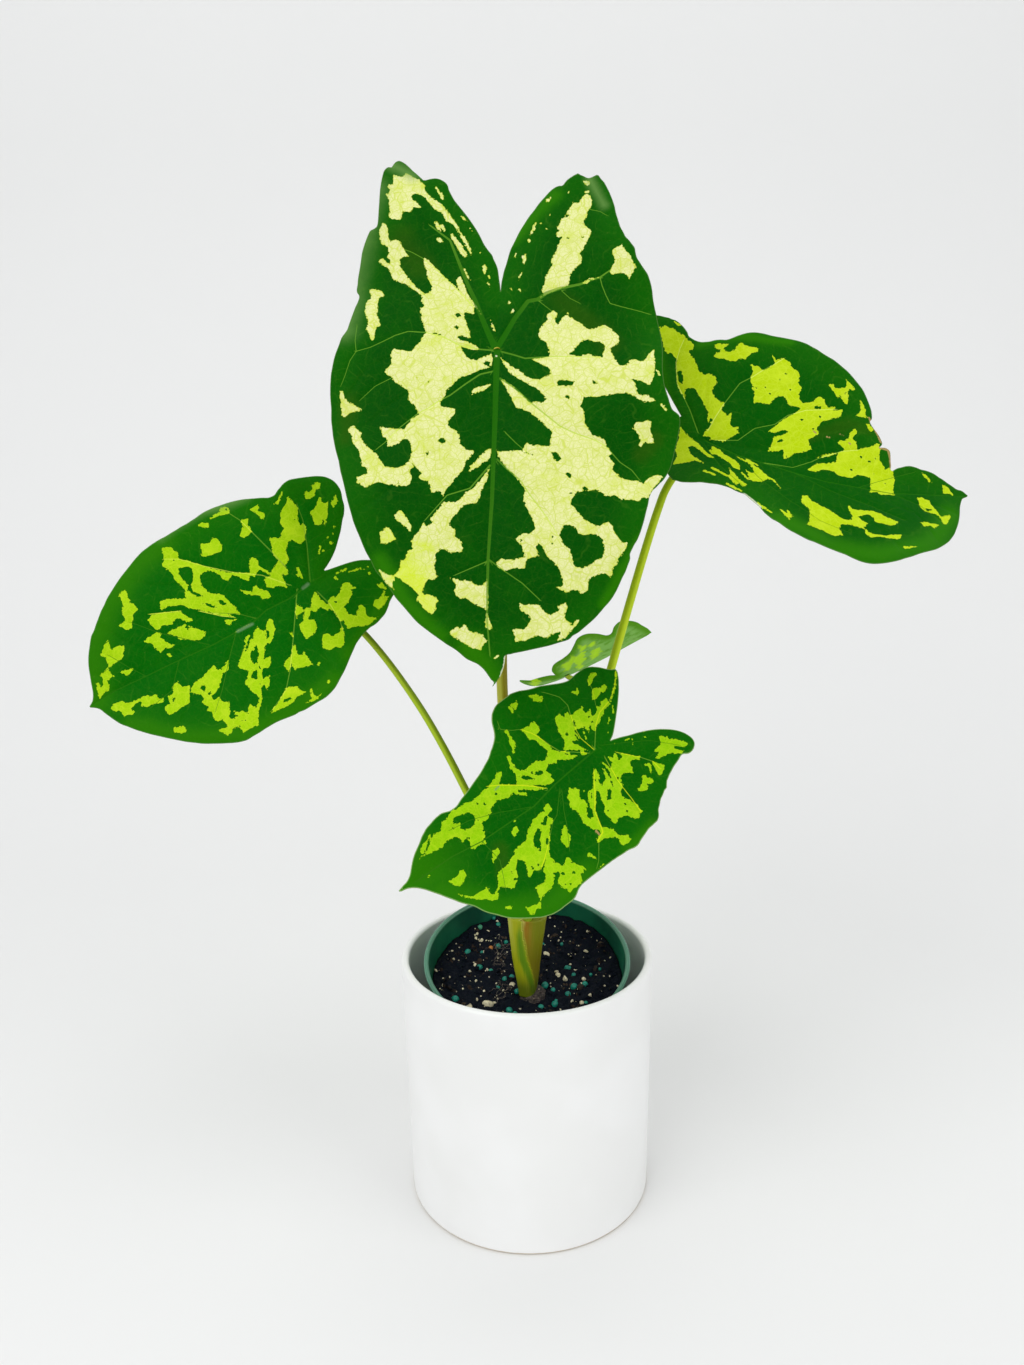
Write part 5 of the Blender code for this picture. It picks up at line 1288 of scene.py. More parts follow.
        "patches": """
659,327 662,328 665,326 669,328 674,329 677,332 681,334 685,336 688,340 691,342 694,346 693,350
689,351 691,356 695,360 697,366 699,371 704,375 708,374 712,375 716,378 717,383 714,387 712,391
714,396 720,402 725,402 721,410 724,413 727,416 732,413 730,424 733,428 740,427 737,430 739,433
728,439 722,442 720,440 710,440 711,437 703,436 705,432 712,424 709,423 707,419 708,413 704,404
698,394 695,389 690,388 686,389 684,392 686,397 685,399 679,389 677,382 676,367 677,360 671,353
668,354 665,351 663,345 661,336; 672,320 677,322 681,325 679,327; 714,345 718,344 730,344
725,347 724,350 727,352 732,352 735,349 738,345 742,343 746,346 752,347 759,349 756,353 751,354
745,360 740,359 735,362 728,361 723,359 717,358 714,356 716,353 720,352 720,350 716,349; 750,364
754,366 759,367 763,370 766,369 775,363 773,358 772,355 776,360 784,358 787,361 790,363 792,368
797,371 800,376 798,383 801,387 801,391 799,395 799,399 803,403 813,402 817,398 820,397 824,400
825,404 828,407 835,407 834,410 842,410 842,414 840,417 828,420 822,422 816,429 819,432 817,435
808,440 811,450 800,453 794,454 786,459 784,459 783,450 776,452 768,451 771,445 773,440 772,438
784,435 788,432 784,430 775,433 768,432 774,427 787,417 799,411 800,408 791,406 787,403 786,399
784,397 778,396 773,400 769,405 764,404 759,402 754,403 753,399 755,391 752,390 753,386 750,381
753,371; 828,386 830,384 833,385 836,389 845,388 847,384 846,380 852,386 857,392 848,389 848,399
847,404 844,403 840,396 837,398 834,392; 860,398 864,407 866,416 870,419 861,417 855,416 861,411
860,405; 866,424 869,424 874,430 871,433 868,430; 838,443 840,441 845,441 849,438 850,432
855,429 857,433 852,438 855,441 858,449 864,448 870,447 876,444 879,444 880,449 879,455 880,461
885,470 888,468 892,468 893,473 895,480 893,490 896,495 880,495 878,492 869,493 871,489 870,478
862,476 857,475 852,478 838,476 834,472 828,470 822,470 815,472 807,470 816,464 832,463 836,462
838,453 830,456 817,458 823,455 842,451 844,449 841,447; 802,496 807,496 811,501 824,508 830,511
837,516 844,520 851,520 852,516 847,508 849,506 853,510 868,511 875,512 881,514 887,518 898,522
895,526 889,526 874,522 873,518 868,515 858,517 862,521 868,523 865,527 861,526 869,533 882,536
901,535 900,540 884,538 877,537 871,538 866,535 864,530 857,527 849,525 840,524 840,529 843,537
840,535 835,537 820,530 806,525 809,521 810,510 801,502; 917,498 921,497 925,500 930,501 930,504
937,512 941,517 951,515 946,525 943,524 941,519 936,514 924,511 921,508 919,503; 920,523 924,522
930,524 939,525 934,529 930,526 924,527; 921,472 926,476 932,483 929,482 924,477; 942,485
946,486 955,496 950,494 943,493; 902,547 917,547 910,549 904,549; 680,427 683,431 692,439
697,442 705,451 714,457 710,458 705,455 695,447 690,446 688,448 690,454 697,459 706,465 694,461
688,463 673,465 677,456 675,450 679,437; 711,445 716,448 720,450 725,455 731,458 736,461 740,466
740,471 745,475 751,481 746,479 742,474 739,470 733,468 729,463 723,459 717,455 712,454 709,450
712,450; 728,451 734,455 748,461 754,465 760,469 768,477 774,480 778,485 782,490 773,481 768,479
761,482 755,482 750,480 748,475 746,470 751,473 754,473 753,468 748,463 740,459; 729,468 732,471
740,480 747,485 743,486 739,483 736,485 729,478 727,475 730,474; 779,509 784,512 787,514 787,510
793,517 790,518 790,521 783,514; 746,458 759,465 757,466 745,460; 712,467 728,475 727,477
711,469; 727,483 743,491 742,492 726,485; 704,470 716,475 715,476 703,472; 758,502 772,513
771,514 757,504""",
        "holes": """
677,371 681,370 684,380 682,384 679,382; 710,419 712,417 713,420 710,422; 813,408 817,406
821,407 820,409; 798,420 802,419 805,420 802,421; 777,443 778,441 781,439 783,441; 843,392
846,392 845,395; 925,508 932,510 928,511""",
        "dark dots": """
786,374,1 765,388,1 757,388,1 786,457,0.8 813,429,0.8 820,417,0.8 861,457,1.3 869,462,1
875,459,1 873,474,1 885,484,1 851,470,1 790,390,0.7 780,380,0.7 770,394,0.7""",
        "pale dots": "",
        "veins": """
0.8 0.4 0.12 0.20: 705,440 738,455 771,465 793,472 825,481 858,487 891,493 968,496; 0.5 0.3 0.60
1.00: 698,432 690,410 677,383 676,362 680,348 684,339; 0.5 0.3 0.60 0.80: 708,430 714,419
723,405 733,392 740,383 752,377 763,370 776,363 784,358; 0.4 0.3 0.60 0.90: 715,440 738,440
755,428 775,424 788,415 806,410 836,409; 0.4 0.3 0.60 0.80: 762,462 793,467 819,458 842,451
858,450; 0.3 0.2 0.20 0.30: 738,455 760,478 790,500 820,520 850,532; 0.3 0.2 0.20 0.30: 793,472
830,490 870,505 905,520; 0.3 0.2 0.20 0.30: 705,445 720,465 745,487; 0.3 0.2 0.20 0.30: 858,487
890,478 915,472; 0.3 0.2 0.20 0.30: 891,493 920,505 940,520""",
    },
    "front": {
        "edge": """
610.6,740.4 613,739.3 616.5,738.3 620,737.2 625,736 630,734.8 635,733.2 640,731.9 645,730.8
650,729.9 655,729.3 660,729 665,729 670,729.2 675,729.9 680,731.1 685,733 688,734.9 690,736.2
692,738 693.5,740 694.6,742.3 694.7,744.7 694.2,747.3 693.4,749.3 692,751 690,752.6 687.7,753.5
684,753.6 682,754.5 680.5,756.5 679,759.2 677.5,761.5 675.6,764.2 674,766.4 672.3,769.7 670,774
668.5,777.6 667.2,781 667,783.6 666.9,786.5 666.8,788.2 665.3,789.4 664.6,790.6 663.7,793.1
662.7,795.6 661.4,798 660.6,800.5 660.2,802.9 659.7,805.4 659,807.8 658.6,810.3 658.9,812.7
659,815.2 658.6,817.7 657.9,820.1 657,821.3 655.5,822.6 653.4,824.6 651,826.7 648.9,828.7
647.5,830.7 646.1,832.8 644.7,834.8 643.2,836.9 641.8,838.9 640.7,840.6 639.7,842.6 638.7,844.2
637.5,845.5 636,846.7 634.2,847.8 632.2,848.6 629.7,849.6 626.8,851.2 624.8,852.8 621.5,854.9
618.2,856.9 615.2,859 612.1,861 610,862.7 607.2,864.7 604.6,866.8 599.9,870.4 595.1,874
590.3,877.7 586.3,880.9 583.1,883.6 580.7,886.5 578.8,889.4 577.2,893.7 575.6,896.9 573.5,899.6
571.1,901.7 567.9,904.1 564.7,906.5 561.5,909.2 558.3,911.3 555.1,913.1 551.9,914.7 548.7,915.6
545.4,916.6 541.4,917.6 537.4,917.9 532.6,918.2 527.8,918.4 523,918.5 518.2,918.5 513.4,918.4
508.6,917.9 504.6,917.1 500.6,916 496.6,914.8 492.6,913.9 488.6,912.9 484.6,911.5 481.3,909.9
478.1,908.1 474.9,906.5 471.7,905.4 468.5,904.7 463.7,903.5 458.9,902 454.1,900.1 449.3,898.3
444.5,896.6 439.7,894.6 434.9,893 430,891.3 425.3,889.7 420.4,888.6 416.4,887.9 412.4,887.9
408.4,888.4 405.2,889.4 402,891 398.2,891.6 399.3,890 401.2,887.8 403.6,884.9 406,882.5
408,879.3 409.4,876 410.4,872 411.3,866.4 412.4,860.8 414,855.2 416.1,849.9 418.5,844.8
420.4,840 421.7,836.3 423.7,832.8 425.5,829.2 427.8,826.3 430.2,823.7 432.5,821 435.5,817.8
438.5,815.3 440.8,813.5 444.4,812.2 447.3,811.5 450,810.7 452.6,808.9 455,807.4 457.4,804.8
459.1,802 460.7,799.4 463.3,796.1 465.6,793.4 468.4,789.6 470.2,787.2 475,780.2 479,774.7
482,769.8 485,764.2 487.8,759.3 489.5,755 490.7,750.7 492,747.7 493.4,742.8 494.3,738.5
494.4,734.8 493.8,730.5 492.7,726.2 491.8,721.9 491.7,718.2 492,713.9 493.5,709.6 495,706.6
497,704.1 500,701.8 503,699.4 507,696.5 510,694 515,692 520,690.6 525,689.9 530,689 535,687.5
540,686 550,684.5 560,683 567,681 570,678.9 575,674.4 580,670.6 585,667.8 590,666.7 595,666.8
600,667.3 606,668.7 612,669.5 615,668.7 616,667.6 617,671 617.9,673.4 618.8,679.5 618.9,685
618.9,691.8 617.9,704.1 616.3,716.4 615.3,723 614.5,728 613,735 611.2,739""",
        "touches": """
fresh 60: 402,888 425,872; fresh 26: 440,890 500,912 550,908 590,875; fresh 12: 655,825 630,848;
glint 1.5: 495,790 499,786; dull 14: 500,850 505,880; scar 1.4: 596,831 599,834""",
        "patches": """
501,772 501,778 499,784 517,785 534,786 547,788 543,789 536,791 531,790 526,789 522,790 518,790
518,792 522,792 526,792 527,795 525,796 521,795 517,794 513,793 509,797 505,799 497,800 496,803
493,806 490,809 492,812 489,814 488,818 487,820 484,821 480,823 483,826 483,831 485,831 484,839
486,843 482,844 477,843 479,846 474,849 471,849 470,842 466,839 462,842 460,838 455,837 453,838
449,840 444,843 443,848 440,848 436,851 432,852 428,855 424,856 426,852 428,849 430,845 430,841
432,838 434,834 437,833 440,832 441,827 442,822 446,820 448,817 450,813 452,810 456,809 461,806
465,803 469,803 472,801 476,798 480,794 483,791 486,789 489,786 491,783 494,779 497,773; 431,834
428,841 426,848 424,852 419,861 422,853 420,851 422,846 426,840 429,836; 506,756 510,756 511,759
511,763 514,765 515,768 519,770 522,771 526,770 528,766 532,764 536,761 542,761 545,760 547,756
548,751 544,748 540,745 536,740 532,740 529,740 527,737 525,734 524,732 521,730 524,728 526,727
529,726 531,723 534,722 536,725 539,727 539,731 537,734 540,737 544,740 548,744 550,746 552,749
557,751 565,751 572,753 571,754 565,753 564,754 570,755 574,755 579,755 575,757 572,759 565,760
557,760 557,763 548,764 548,767 546,770 549,773 551,774 551,777 554,780 551,784 544,785 536,785
517,785 517,781 515,775 513,771 510,769 509,764 508,760 506,758; 503,731 507,729 509,734 511,737
514,741 516,746 514,748 515,752 513,755 512,749 510,745 509,739 507,734; 507,708 512,704 516,701
519,704 517,707 514,711 513,714 510,710; 528,696 532,696 536,694 538,696 542,696 541,699 543,699
542,702 538,702 533,701 534,699 530,698; 571,693 573,691 576,691 577,688 579,692 577,696
575,694; 588,677 590,674 595,673 598,675 595,676 593,679 592,682 589,687 588,683; 593,688
598,688 601,687 602,685 604,684 607,687 606,690 604,693 601,692 599,695 596,699 592,700 592,693;
557,715 559,714 562,716 564,718 565,714 568,712 570,715 573,714 576,711 580,709 582,706 583,710
586,714 590,709 591,714 593,717 595,714 597,711 596,706 600,707 601,702 606,698 609,702 611,697
612,690 614,686 615,677 615,670 617,670 617,678 616,687 614,693 612,700 609,705 605,709 603,714
601,717 600,721 597,725 595,731 592,729 590,725 587,731 585,727 580,728 576,730 574,730 576,733
580,738 577,741 572,741 574,744 578,745 585,749 589,751 577,750 565,750 563,748 565,745 564,740
561,736 558,731 558,727 556,723 555,720; 582,728 583,729 587,740 586,740; 586,727 588,727
590,733 589,733; 580,751 586,752 588,753 586,755 582,755; 609,717 610,720 608,724 607,724;
612,705 613,705 614,714 613,714; 608,756 611,757 613,759 614,754 615,753 617,757 619,760 622,758
623,757 618,753 624,753 632,755 640,756 641,757 639,760 636,759 631,760 630,764 632,768 633,774
629,773 625,773 622,775 621,778 621,782 624,786 622,789 620,792 621,795 625,799 630,800 634,802
637,804 640,808 643,811 640,813 639,818 634,819 630,817 627,816 621,817 618,818 618,822 615,824
612,821 610,818 606,815 604,811 605,807 602,801 600,795 598,790 597,784 595,778 593,775 595,768
599,775 599,781 602,786 604,782 606,778 604,772 601,767 606,771 609,777 612,781 610,773 605,766
601,762 607,765 611,769 612,763 609,759; 593,775 593,788 589,791 588,795 588,800 590,807 593,810
594,817 597,816 595,810 596,803 596,795 597,790 597,784; 568,788 570,787 572,790 575,788 579,790
579,795 581,799 585,801 588,806 586,809 587,814 588,818 591,819 594,817 594,812 596,812 597,816
599,821 601,826 608,828 613,829 616,833 621,836 628,835 629,838 631,839 629,843 625,845 621,844
619,839 615,837 609,838 603,839 598,842 596,840 599,836 601,833 600,830 597,829 593,830 589,827
583,823 582,819 579,814 575,810 572,810 570,806 570,801 567,797 569,793; 659,737 661,736 664,737
668,736 668,739 676,739 681,741 686,742 688,745 685,747 679,746 674,746 674,749 679,750 685,751
683,753 677,754 671,753 666,755 663,756 660,759 655,759 654,758 658,755 659,752 654,751 657,748
660,745 661,742; 644,765 648,763 651,763 651,766 652,772 651,775 650,771 648,767 646,766;
652,760 656,762 662,764 665,766 663,771 660,776 658,775 657,772 654,767 653,765; 642,776 646,775
647,778 651,778 653,781 651,784 647,784 648,788 647,790 643,791 639,792 637,790 640,787 642,783;
625,740 629,738 630,739 626,741; 631,745 633,742 634,743 632,745; 562,829 565,825 568,827
568,831 570,836 570,844 567,848 563,844 561,839 562,835; 587,853 590,853 593,856 597,859 593,858
590,856 589,860 587,857; 599,869 603,863 605,863 602,867; 547,803 549,804 550,807 552,809
550,812 549,813 548,818 551,818 553,819 552,823 550,826 550,834 550,839 550,845 549,851 550,857
553,859 554,863 559,864 563,866 565,863 566,858 571,859 571,863 574,863 577,865 583,866 586,870
583,870 583,873 580,874 581,879 583,881 578,886 573,889 570,893 568,890 563,888 558,884 558,879
560,876 559,873 558,872 556,875 553,880 554,884 551,890 546,893 541,899 541,902 541,908 537,909
534,914 530,915 528,911 526,907 529,907 532,905 537,904 540,900 539,894 537,890 535,888 540,885
545,883 546,878 546,874 543,871 544,867 546,859 545,859 543,866 539,870 534,871 532,873 530,878
528,876 527,870 526,865 523,860 518,860 516,865 515,869 518,876 517,881 514,888 510,888 506,887
500,887 499,890 498,897 498,900 495,901 490,900 480,900 474,899 466,898 458,894 462,895 471,897
476,895 480,892 484,891 486,888 489,889 489,893 492,895 496,893 498,887 498,878 498,872 502,869
508,864 510,859 514,855 515,850 518,847 525,842 527,837 528,830 530,827 532,821 536,817 540,814
541,812 545,811 543,809 545,805; 511,834 512,830 516,826 519,831 516,835 514,837; 493,851
497,848 499,849 499,853 496,857 494,863 493,861 492,855; 505,907 512,906 512,909 506,909;
464,870 465,873 467,876 464,881 462,885 458,887 451,884 449,881 454,879 458,876 461,870""",
        "holes": """
453,818 458,816 461,815 466,813 471,813 476,817 475,824 471,828 465,830 460,829 460,823 455,824
453,824; 477,818 479,819 479,822 477,821; 465,836 470,838 469,839; 534,775 536,772 540,771
543,771 543,774 538,776; 519,777 523,776 528,776 532,778 536,779 535,780 528,780 523,779;
573,720 575,721 576,726 574,726; 574,734 576,734 579,740 577,740; 607,789 611,789 612,792
611,795 612,799 607,801 607,794; 610,780 612,780 613,785 614,788 612,787 611,784; 591,792
592,792 592,798 591,798; 594,806 595,806 595,811; 537,829 540,828 541,832 540,839 541,844
541,849 537,849 534,845 533,839 535,833; 547,815 547,818 546,826 544,826 541,824 544,819;
547,837 549,839 548,844 546,844 546,839; 511,871 513,872 512,874; 514,878 516,878 516,881
514,881""",
        "dark dots": """
532,773,1.2 514,767,1.1 510,707,1 513,709,1 567,734,1.5 589,717,1.2 592,722,1.1 618,778,0.8
625,804,1.2 608,811,0.9 627,812,1.3 540,850,1 532,868,1.4 538,865,0.9 554,874,1.2 563,874,1.2
574,873,1.5 571,884,0.9 565,885,0.9 496,794,0.9 485,804,1.1 477,804,0.9 453,828,0.9 665,739,0.9
423,866,0.9 516,874,0.9""",
        "pale dots": """
608,733,1.2 615,703,0.7 614,743,0.7 632,739,0.9 644,732,0.8 645,737,0.8 515,821,0.9 429,876,0.9
584,791,0.7""",
        "veins": """
0.9 0.4 0.15 0.25: 595,750 570,771 554,785 534,806 513,820 482,841 451,857 415,882; 0.5 0.4 0.90
1.00: 546,788 534,786 520,785 500,785 488,786; 0.3 0.3 0.55 1.00: 549,838 547,850 544,860
541,868; 0.3 0.4 0.60 1.00: 543,692 560,697 568,705 570,712 574,724 577,731 581,738 595,750; 0.4
0.4 1.00 0.60: 521,729 532,733 539,737 550,745 560,751 590,753; 0.4 0.4 0.70 0.60: 616,671
615,686 610,700 600,712 596,725 595,748; 0.3 0.2 0.70 0.60: 588,680 593,690 596,705; 0.5 0.4
0.90 0.60: 617,752 641,757 653,761 660,768; 0.4 0.5 0.90 1.00: 594,770 595,790 595,811 601,826
603,832 598,840; 0.3 0.2 0.60 0.50: 599,842 599,860 597,868; 0.4 0.4 0.80 1.00: 605,757 613,771
618,780 623,787 631,797 637,805 641,811; 0.3 0.2 0.25 0.35: 560,788 557,815 553,822 551,832; 0.3
0.2 0.25 0.35: 562,790 564,810 567,825 570,850; 0.3 0.2 0.20 0.30: 534,806 500,812 470,820
450,830; 0.3 0.2 0.20 0.30: 600,745 625,742 650,740 680,745; 0.3 0.2 0.25 0.35: 482,841 500,860
506,890; 0.3 0.2 0.50 0.50: 499,729 512,730 521,729; 0.3 0.2 0.50 0.50: 498,722 500,728; 0.3 0.2
0.50 0.60: 551,832 549,838""",
    },
    "rear": {
        "edge": "",
        "touches": "lime 30: 575,660 590,648",
        "patches": """
577,643 581,645 586,643 585,646 583,649 585,656 582,662 580,668 576,666 573,661 571,665 568,669
563,668 562,664 568,660 571,656 577,655 579,650; 588,645 591,642 593,641 594,644 591,647;
590,652 593,647 598,646 601,650 596,655 590,660; 530,679 536,677 541,680 537,685 533,685""",
        "holes": "",
        "dark dots": "",
        "pale dots": "",
        "veins": """
0.8 0.4 0.60 0.70: 566,672 590,658 615,645 651,630; 0.4 0.2 0.60 0.70: 566,672 575,655 583,642;
0.4 0.2 0.60 0.70: 590,658 595,645 600,636; 0.4 0.2 0.60 0.70: 610,648 618,636 624,628""",
    },
}
LEAF_SPACING = 0.7
RIM_SPACING = 0.9
PIXEL = 0.46  # millimetres on a leaf that one pixel covers
UNDERSIDE = {"under": (0.32, 0.50, 0.21), "under edge": (0.30, 0.48, 0.18)}
LEAF_TONES = {
    "centre": {
        "patch": (0.875, 0.885, 0.62), "net": (0.75, 0.81, 0.20), "speck": (0.90, 0.90, 0.72),
        "deep": (0.0, 0.285, 0.0), "edge": (0.045, 0.345, 0.0), "vein": (0.80, 0.88, 0.33),
        "under patch": (0.70, 0.76, 0.46), "rim": 0.15, **UNDERSIDE,
    },
    "left": {
        "patch": (0.60, 0.775, 0.03), "net": (0.70, 0.83, 0.13), "speck": (0.74, 0.86, 0.0),
        "deep": (0.0, 0.36, 0.0), "edge": (0.08, 0.40, 0.0), "vein": (0.80, 0.88, 0.26),
        "under patch": (0.60, 0.72, 0.27), "rim": 0.15, **UNDERSIDE,
    },
    "right": {
        "patch": (0.69, 0.797, 0.04), "net": (0.76, 0.85, 0.18), "speck": (0.74, 0.86, 0.0),
        "deep": (0.0, 0.318, 0.0), "edge": (0.06, 0.36, 0.0), "vein": (0.84, 0.91, 0.40),
        "under patch": (0.65, 0.76, 0.30), "rim": 0.15, **UNDERSIDE,
    },
    "front": {
        "patch": (0.54, 0.75, 0.02), "net": (0.64, 0.80, 0.10), "speck": (0.74, 0.86, 0.0),
        "deep": (0.0, 0.335, 0.0), "edge": (0.03, 0.37, 0.0), "vein": (0.80, 0.86, 0.10),
        "under patch": (0.60, 0.74, 0.27), "rim": 0.6, **UNDERSIDE,
    },
    # The rear leaf's tones are painted paler than the others': painted light, for the backdrop's
    # light that shines through it.
    "rear": {
        "patch": (0.62, 0.76, 0.09), "net": (0.72, 0.81, 0.31), "speck": (0.74, 0.86, 0.1),
        "deep": (0.09, 0.38, 0.02), "edge": (0.27, 0.50, 0.09), "vein": (0.80, 0.88, 0.33),
        "under patch": (0.74, 0.93, 0.18), "rim": 0.1,
        "under": (0.53, 0.75, 0.36), "under edge": (0.35, 0.61, 0.11),
    },
}
VEIN_OLIVE = (0.13, 0.40, 0.02)
VEIN_LIGHT = (0.40, 0.60, 0.16)
UNDER_VEIN = (0.58, 0.70, 0.38)
FRESH = (0.155, 0.445, 0.0)
DULL = (0.20, 0.33, 0.02)
LIME = (0.80, 0.88, 0.10)
# Painted sheen: a pale green laid where a blade turns away from the light.
PAINTED_SHEEN = (0.42, 0.58, 0.29)
SCAR = (0.66, 0.56, 0.34)
GLINT = (0.42, 0.56, 0.38)
# Painted highlights: the lit rims at the centre leaf's tip and on the right leaf's turned-over
# edge, and a bright spot where the centre leaf meets its stalk.
PAINTED_HIGHLIGHT = (0.84, 0.87, 0.74)
RIM_LINE = (0.64, 0.76, 0.46)
TOUCH_KINDS = ("haze", "scar", "glint", "fresh", "lime", "drop", "dull")
LEAF_PUFF = 0.35  # how far a blade swells between its veins
VEIN_SINK = 0.3
VEIN_BLUR = 1.2  # how far from a vein its sinking still shows
MIDDLE_SINK = 0.1
RIM_THICKNESS = 0.35  # the rim's share of the blade's thickness
RIM_REACH = 1.6
RIB_HEIGHT = 0.35  # of a vein's rib below the blade, for each millimetre of its half width
DOT_PIXELS = 2.1  # a dot's width in pixels for each millimetre of its radius
NUDGE = 0.1  # the step along the leaf that tells how it foreshortens
FLATTEST = 0.4  # square pixels to a square millimetre; flatter than this, a place isn't refined
LARGEST_MOVE = 1.5
SEARCH_SPACING = 1.3
EDGE_REACH = 4.0  # how far the photograph's outline may lie from the plain one
EDGE_STEP = 0.15
HIDDEN_LEAST = 8.0  # a shorter stretch without a drawing is simply bridged


def blade_surface(leaf, x, y):
    """Points of the upper face, x millimetres across the midrib and y along it."""
    along, across, face = leaf_axes(leaf)
    bend = np.radians(np.where(y > 0, leaf["droop"], -leaf["lift"])) / leaf["length"]
    turned_by = bend * y
    reach = np.sin(turned_by) / bend
    fall = (1 - np.cos(turned_by)) / bend
    face_here = np.cos(turned_by)[:, None] * face + np.sin(turned_by)[:, None] * along
    share = np.clip(y / leaf["length"], 0.0, 1.0)
    bow = leaf["bow"] * 4 * share * (1 - share)
    midrib = np.array(leaf["junction"]) + reach[:, None] * along - fall[:, None] * face
    midrib = midrib + bow[:, None] * across
    left = x < 0
    start = np.radians(np.where(left, leaf["fold"][0], leaf["fold"][1]))
    curl = np.radians(np.where(left, leaf["curl"][0], leaf["curl"][1])) / 100
    end = start + curl * np.abs(x)
    out = (np.sin(end) - np.sin(start)) / curl
    height = (np.cos(start) - np.cos(end)) / curl
    swell, wavelength, *phases = leaf["wave"]
    phase = np.radians(np.where(left, phases[0], phases[1]))
    height = height + swell * (x / 50) ** 2 * np.sin(math.tau * y / wavelength + phase)
    return midrib + np.copysign(out, x)[:, None] * across + height[:, None] * face_here


def evenly(points, fineness):
    """A smooth line through flat points, with a point at every RIM_SPACING but none at its end."""
    fine = smooth_path([(x, y, 0.0) for x, y in points], fineness * len(points))[:, :2]
    lengths = np.concatenate(([0.0], np.cumsum(np.linalg.norm(np.diff(fine, axis=0), axis=1))))
    wanted = np.linspace(0.0, lengths[-1], int(lengths[-1] / RIM_SPACING))[:-1]
    return np.column_stack([np.interp(wanted, lengths, fine[:, axis]) for axis in (0, 1)])


def blade_outline(leaf):
    """The blade's closed outline (across, along)."""
    return np.vstack([evenly(drawn(leaf[side])[0], 20) for side in ("down", "up")])


def away_from(points, line, closed=False):
    """Each point's distance from a line, how far along the line that is, and on which side."""
    line = np.asarray(line, float)
    ends = np.roll(line, -1, axis=0) if closed else line[1:]
    starts = line if closed else line[:-1]
    nearest = np.full(len(points), 1e9)
    place = np.zeros(len(points))
    hand = np.zeros(len(points))
    passed = 0.0
    for start, end in zip(starts, ends):
        step = end - start
        length = max(float(np.hypot(*step)), 1e-9)
        offset = points - start
        share = np.clip((offset @ step) / length**2, 0.0, 1.0)
        gap = np.hypot(offset[:, 0] - share * step[0], offset[:, 1] - share * step[1])
        closer = gap < nearest
        nearest = np.where(closer, gap, nearest)
        place = np.where(closer, passed + share * length, place)
        hand = np.where(closer, np.sign(step[0] * offset[:, 1] - step[1] * offset[:, 0]), hand)
        passed += length
    return nearest, place, hand


def inside(points, loop):
    odd = np.zeros(len(points), bool)
    for start, end in zip(loop, np.roll(loop, -1, axis=0)):
        if start[1] == end[1]:
            continue
        crosses = (points[:, 1] > start[1]) != (points[:, 1] > end[1])
        share = (points[:, 1] - start[1]) / (end[1] - start[1])
        odd ^= crosses & (points[:, 0] < start[0] + share * (end[0] - start[0]))
    return odd


def drawn(text):
    """The lines of a drawing, each a list of its pixels."""
    lines = [line.split() for line in text.split(";") if line.strip()]
    return [[tuple(float(part) for part in pair.split(",")) for pair in line] for line in lines]


def pixel_finder(leaf, flat):
    """A function that says where on the leaf's plane given photograph pixels fall."""
    tree = KDTree(len(flat))
    seen = photo_place(blade_surface(leaf, flat[:, 0], flat[:, 1]))
    for index, (x, y) in enumerate(seen):
        tree.insert((x, y, 0.0), index)
    tree.balance()

    def find(pixels):
        found = []
        for pixel in pixels:
            start = flat[tree.find((*pixel, 0.0))[1]]
            for _ in range(2):
                near = np.array([start, start + (NUDGE, 0.0), start + (0.0, NUDGE)])
                here, right, ahead = photo_place(blade_surface(leaf, near[:, 0], near[:, 1]))
                slope = np.column_stack((right - here, ahead - here)) / NUDGE
                if abs(np.linalg.det(slope)) < FLATTEST:
                    break
                move = np.linalg.solve(slope, np.array(pixel) - here)
                start = start + move * min(1.0, LARGEST_MOVE / max(np.hypot(*move), 1e-9))
            found.append(start)
        return np.array(found)

    return find


def traced_outline(leaf, text):
    """The blade's outline, which follows the photograph's wherever that was drawn."""
    rough = blade_outline(leaf)
    if not text:
        return rough
    low, high = rough.min(axis=0) - 5.0, rough.max(axis=0) + 5.0
    near = np.meshgrid(*(np.arange(low[axis], high[axis], SEARCH_SPACING) for axis in (0, 1)))
    near = np.stack(near, axis=-1).reshape(-1, 2)
    near = near[away_from(near, rough, closed=True)[0] < EDGE_REACH + 1.0]
    traced = pixel_finder(leaf, near)(drawn(text)[0])
    gap, place, _ = away_from(traced, rough, closed=True)
    total = np.linalg.norm(rough - np.roll(rough, 1, axis=0), axis=1).sum()
    traced, place = traced[gap < EDGE_REACH], np.unwrap(place[gap < EDGE_REACH], period=total)
    kept = [0]
    for index in range(1, len(traced)):
        if place[index] > place[kept[-1]] + EDGE_STEP:
            kept.append(index)
    traced, place = traced[kept], place[kept]
    hidden = np.empty((0, 2))
    missing = total - (place[-1] - place[0])
    if missing > HIDDEN_LEAST:  # the stretch that the photograph hides keeps its plain form
        beyond = (away_from(rough, rough, closed=True)[1] - place[-1]) % total
        order = np.argsort(beyond)
        hidden = rough[order][(beyond[order] > 1.0) & (beyond[order] < missing - 1.0)]
    return evenly(np.vstack((traced, hidden, traced[:1])), 8)


def signed(points, loops, rounds):
    """How far inside the nearest loop or round spot each point is; below 0 is outside."""
    best = np.full(len(points), -30.0)
    for loop in loops:
        low, high = loop.min(axis=0) - 6.0, loop.max(axis=0) + 6.0
        near = np.all((points > low) & (points < high), axis=1)
        if near.any():
            gap = away_from(points[near], loop, closed=True)[0]
            gap = np.where(inside(points[near], loop), gap, -gap)
            best[near] = np.maximum(best[near], gap)
    for (x, y), radius in rounds:
        best = np.maximum(best, radius - np.hypot(points[:, 0] - x, points[:, 1] - y))
    return best


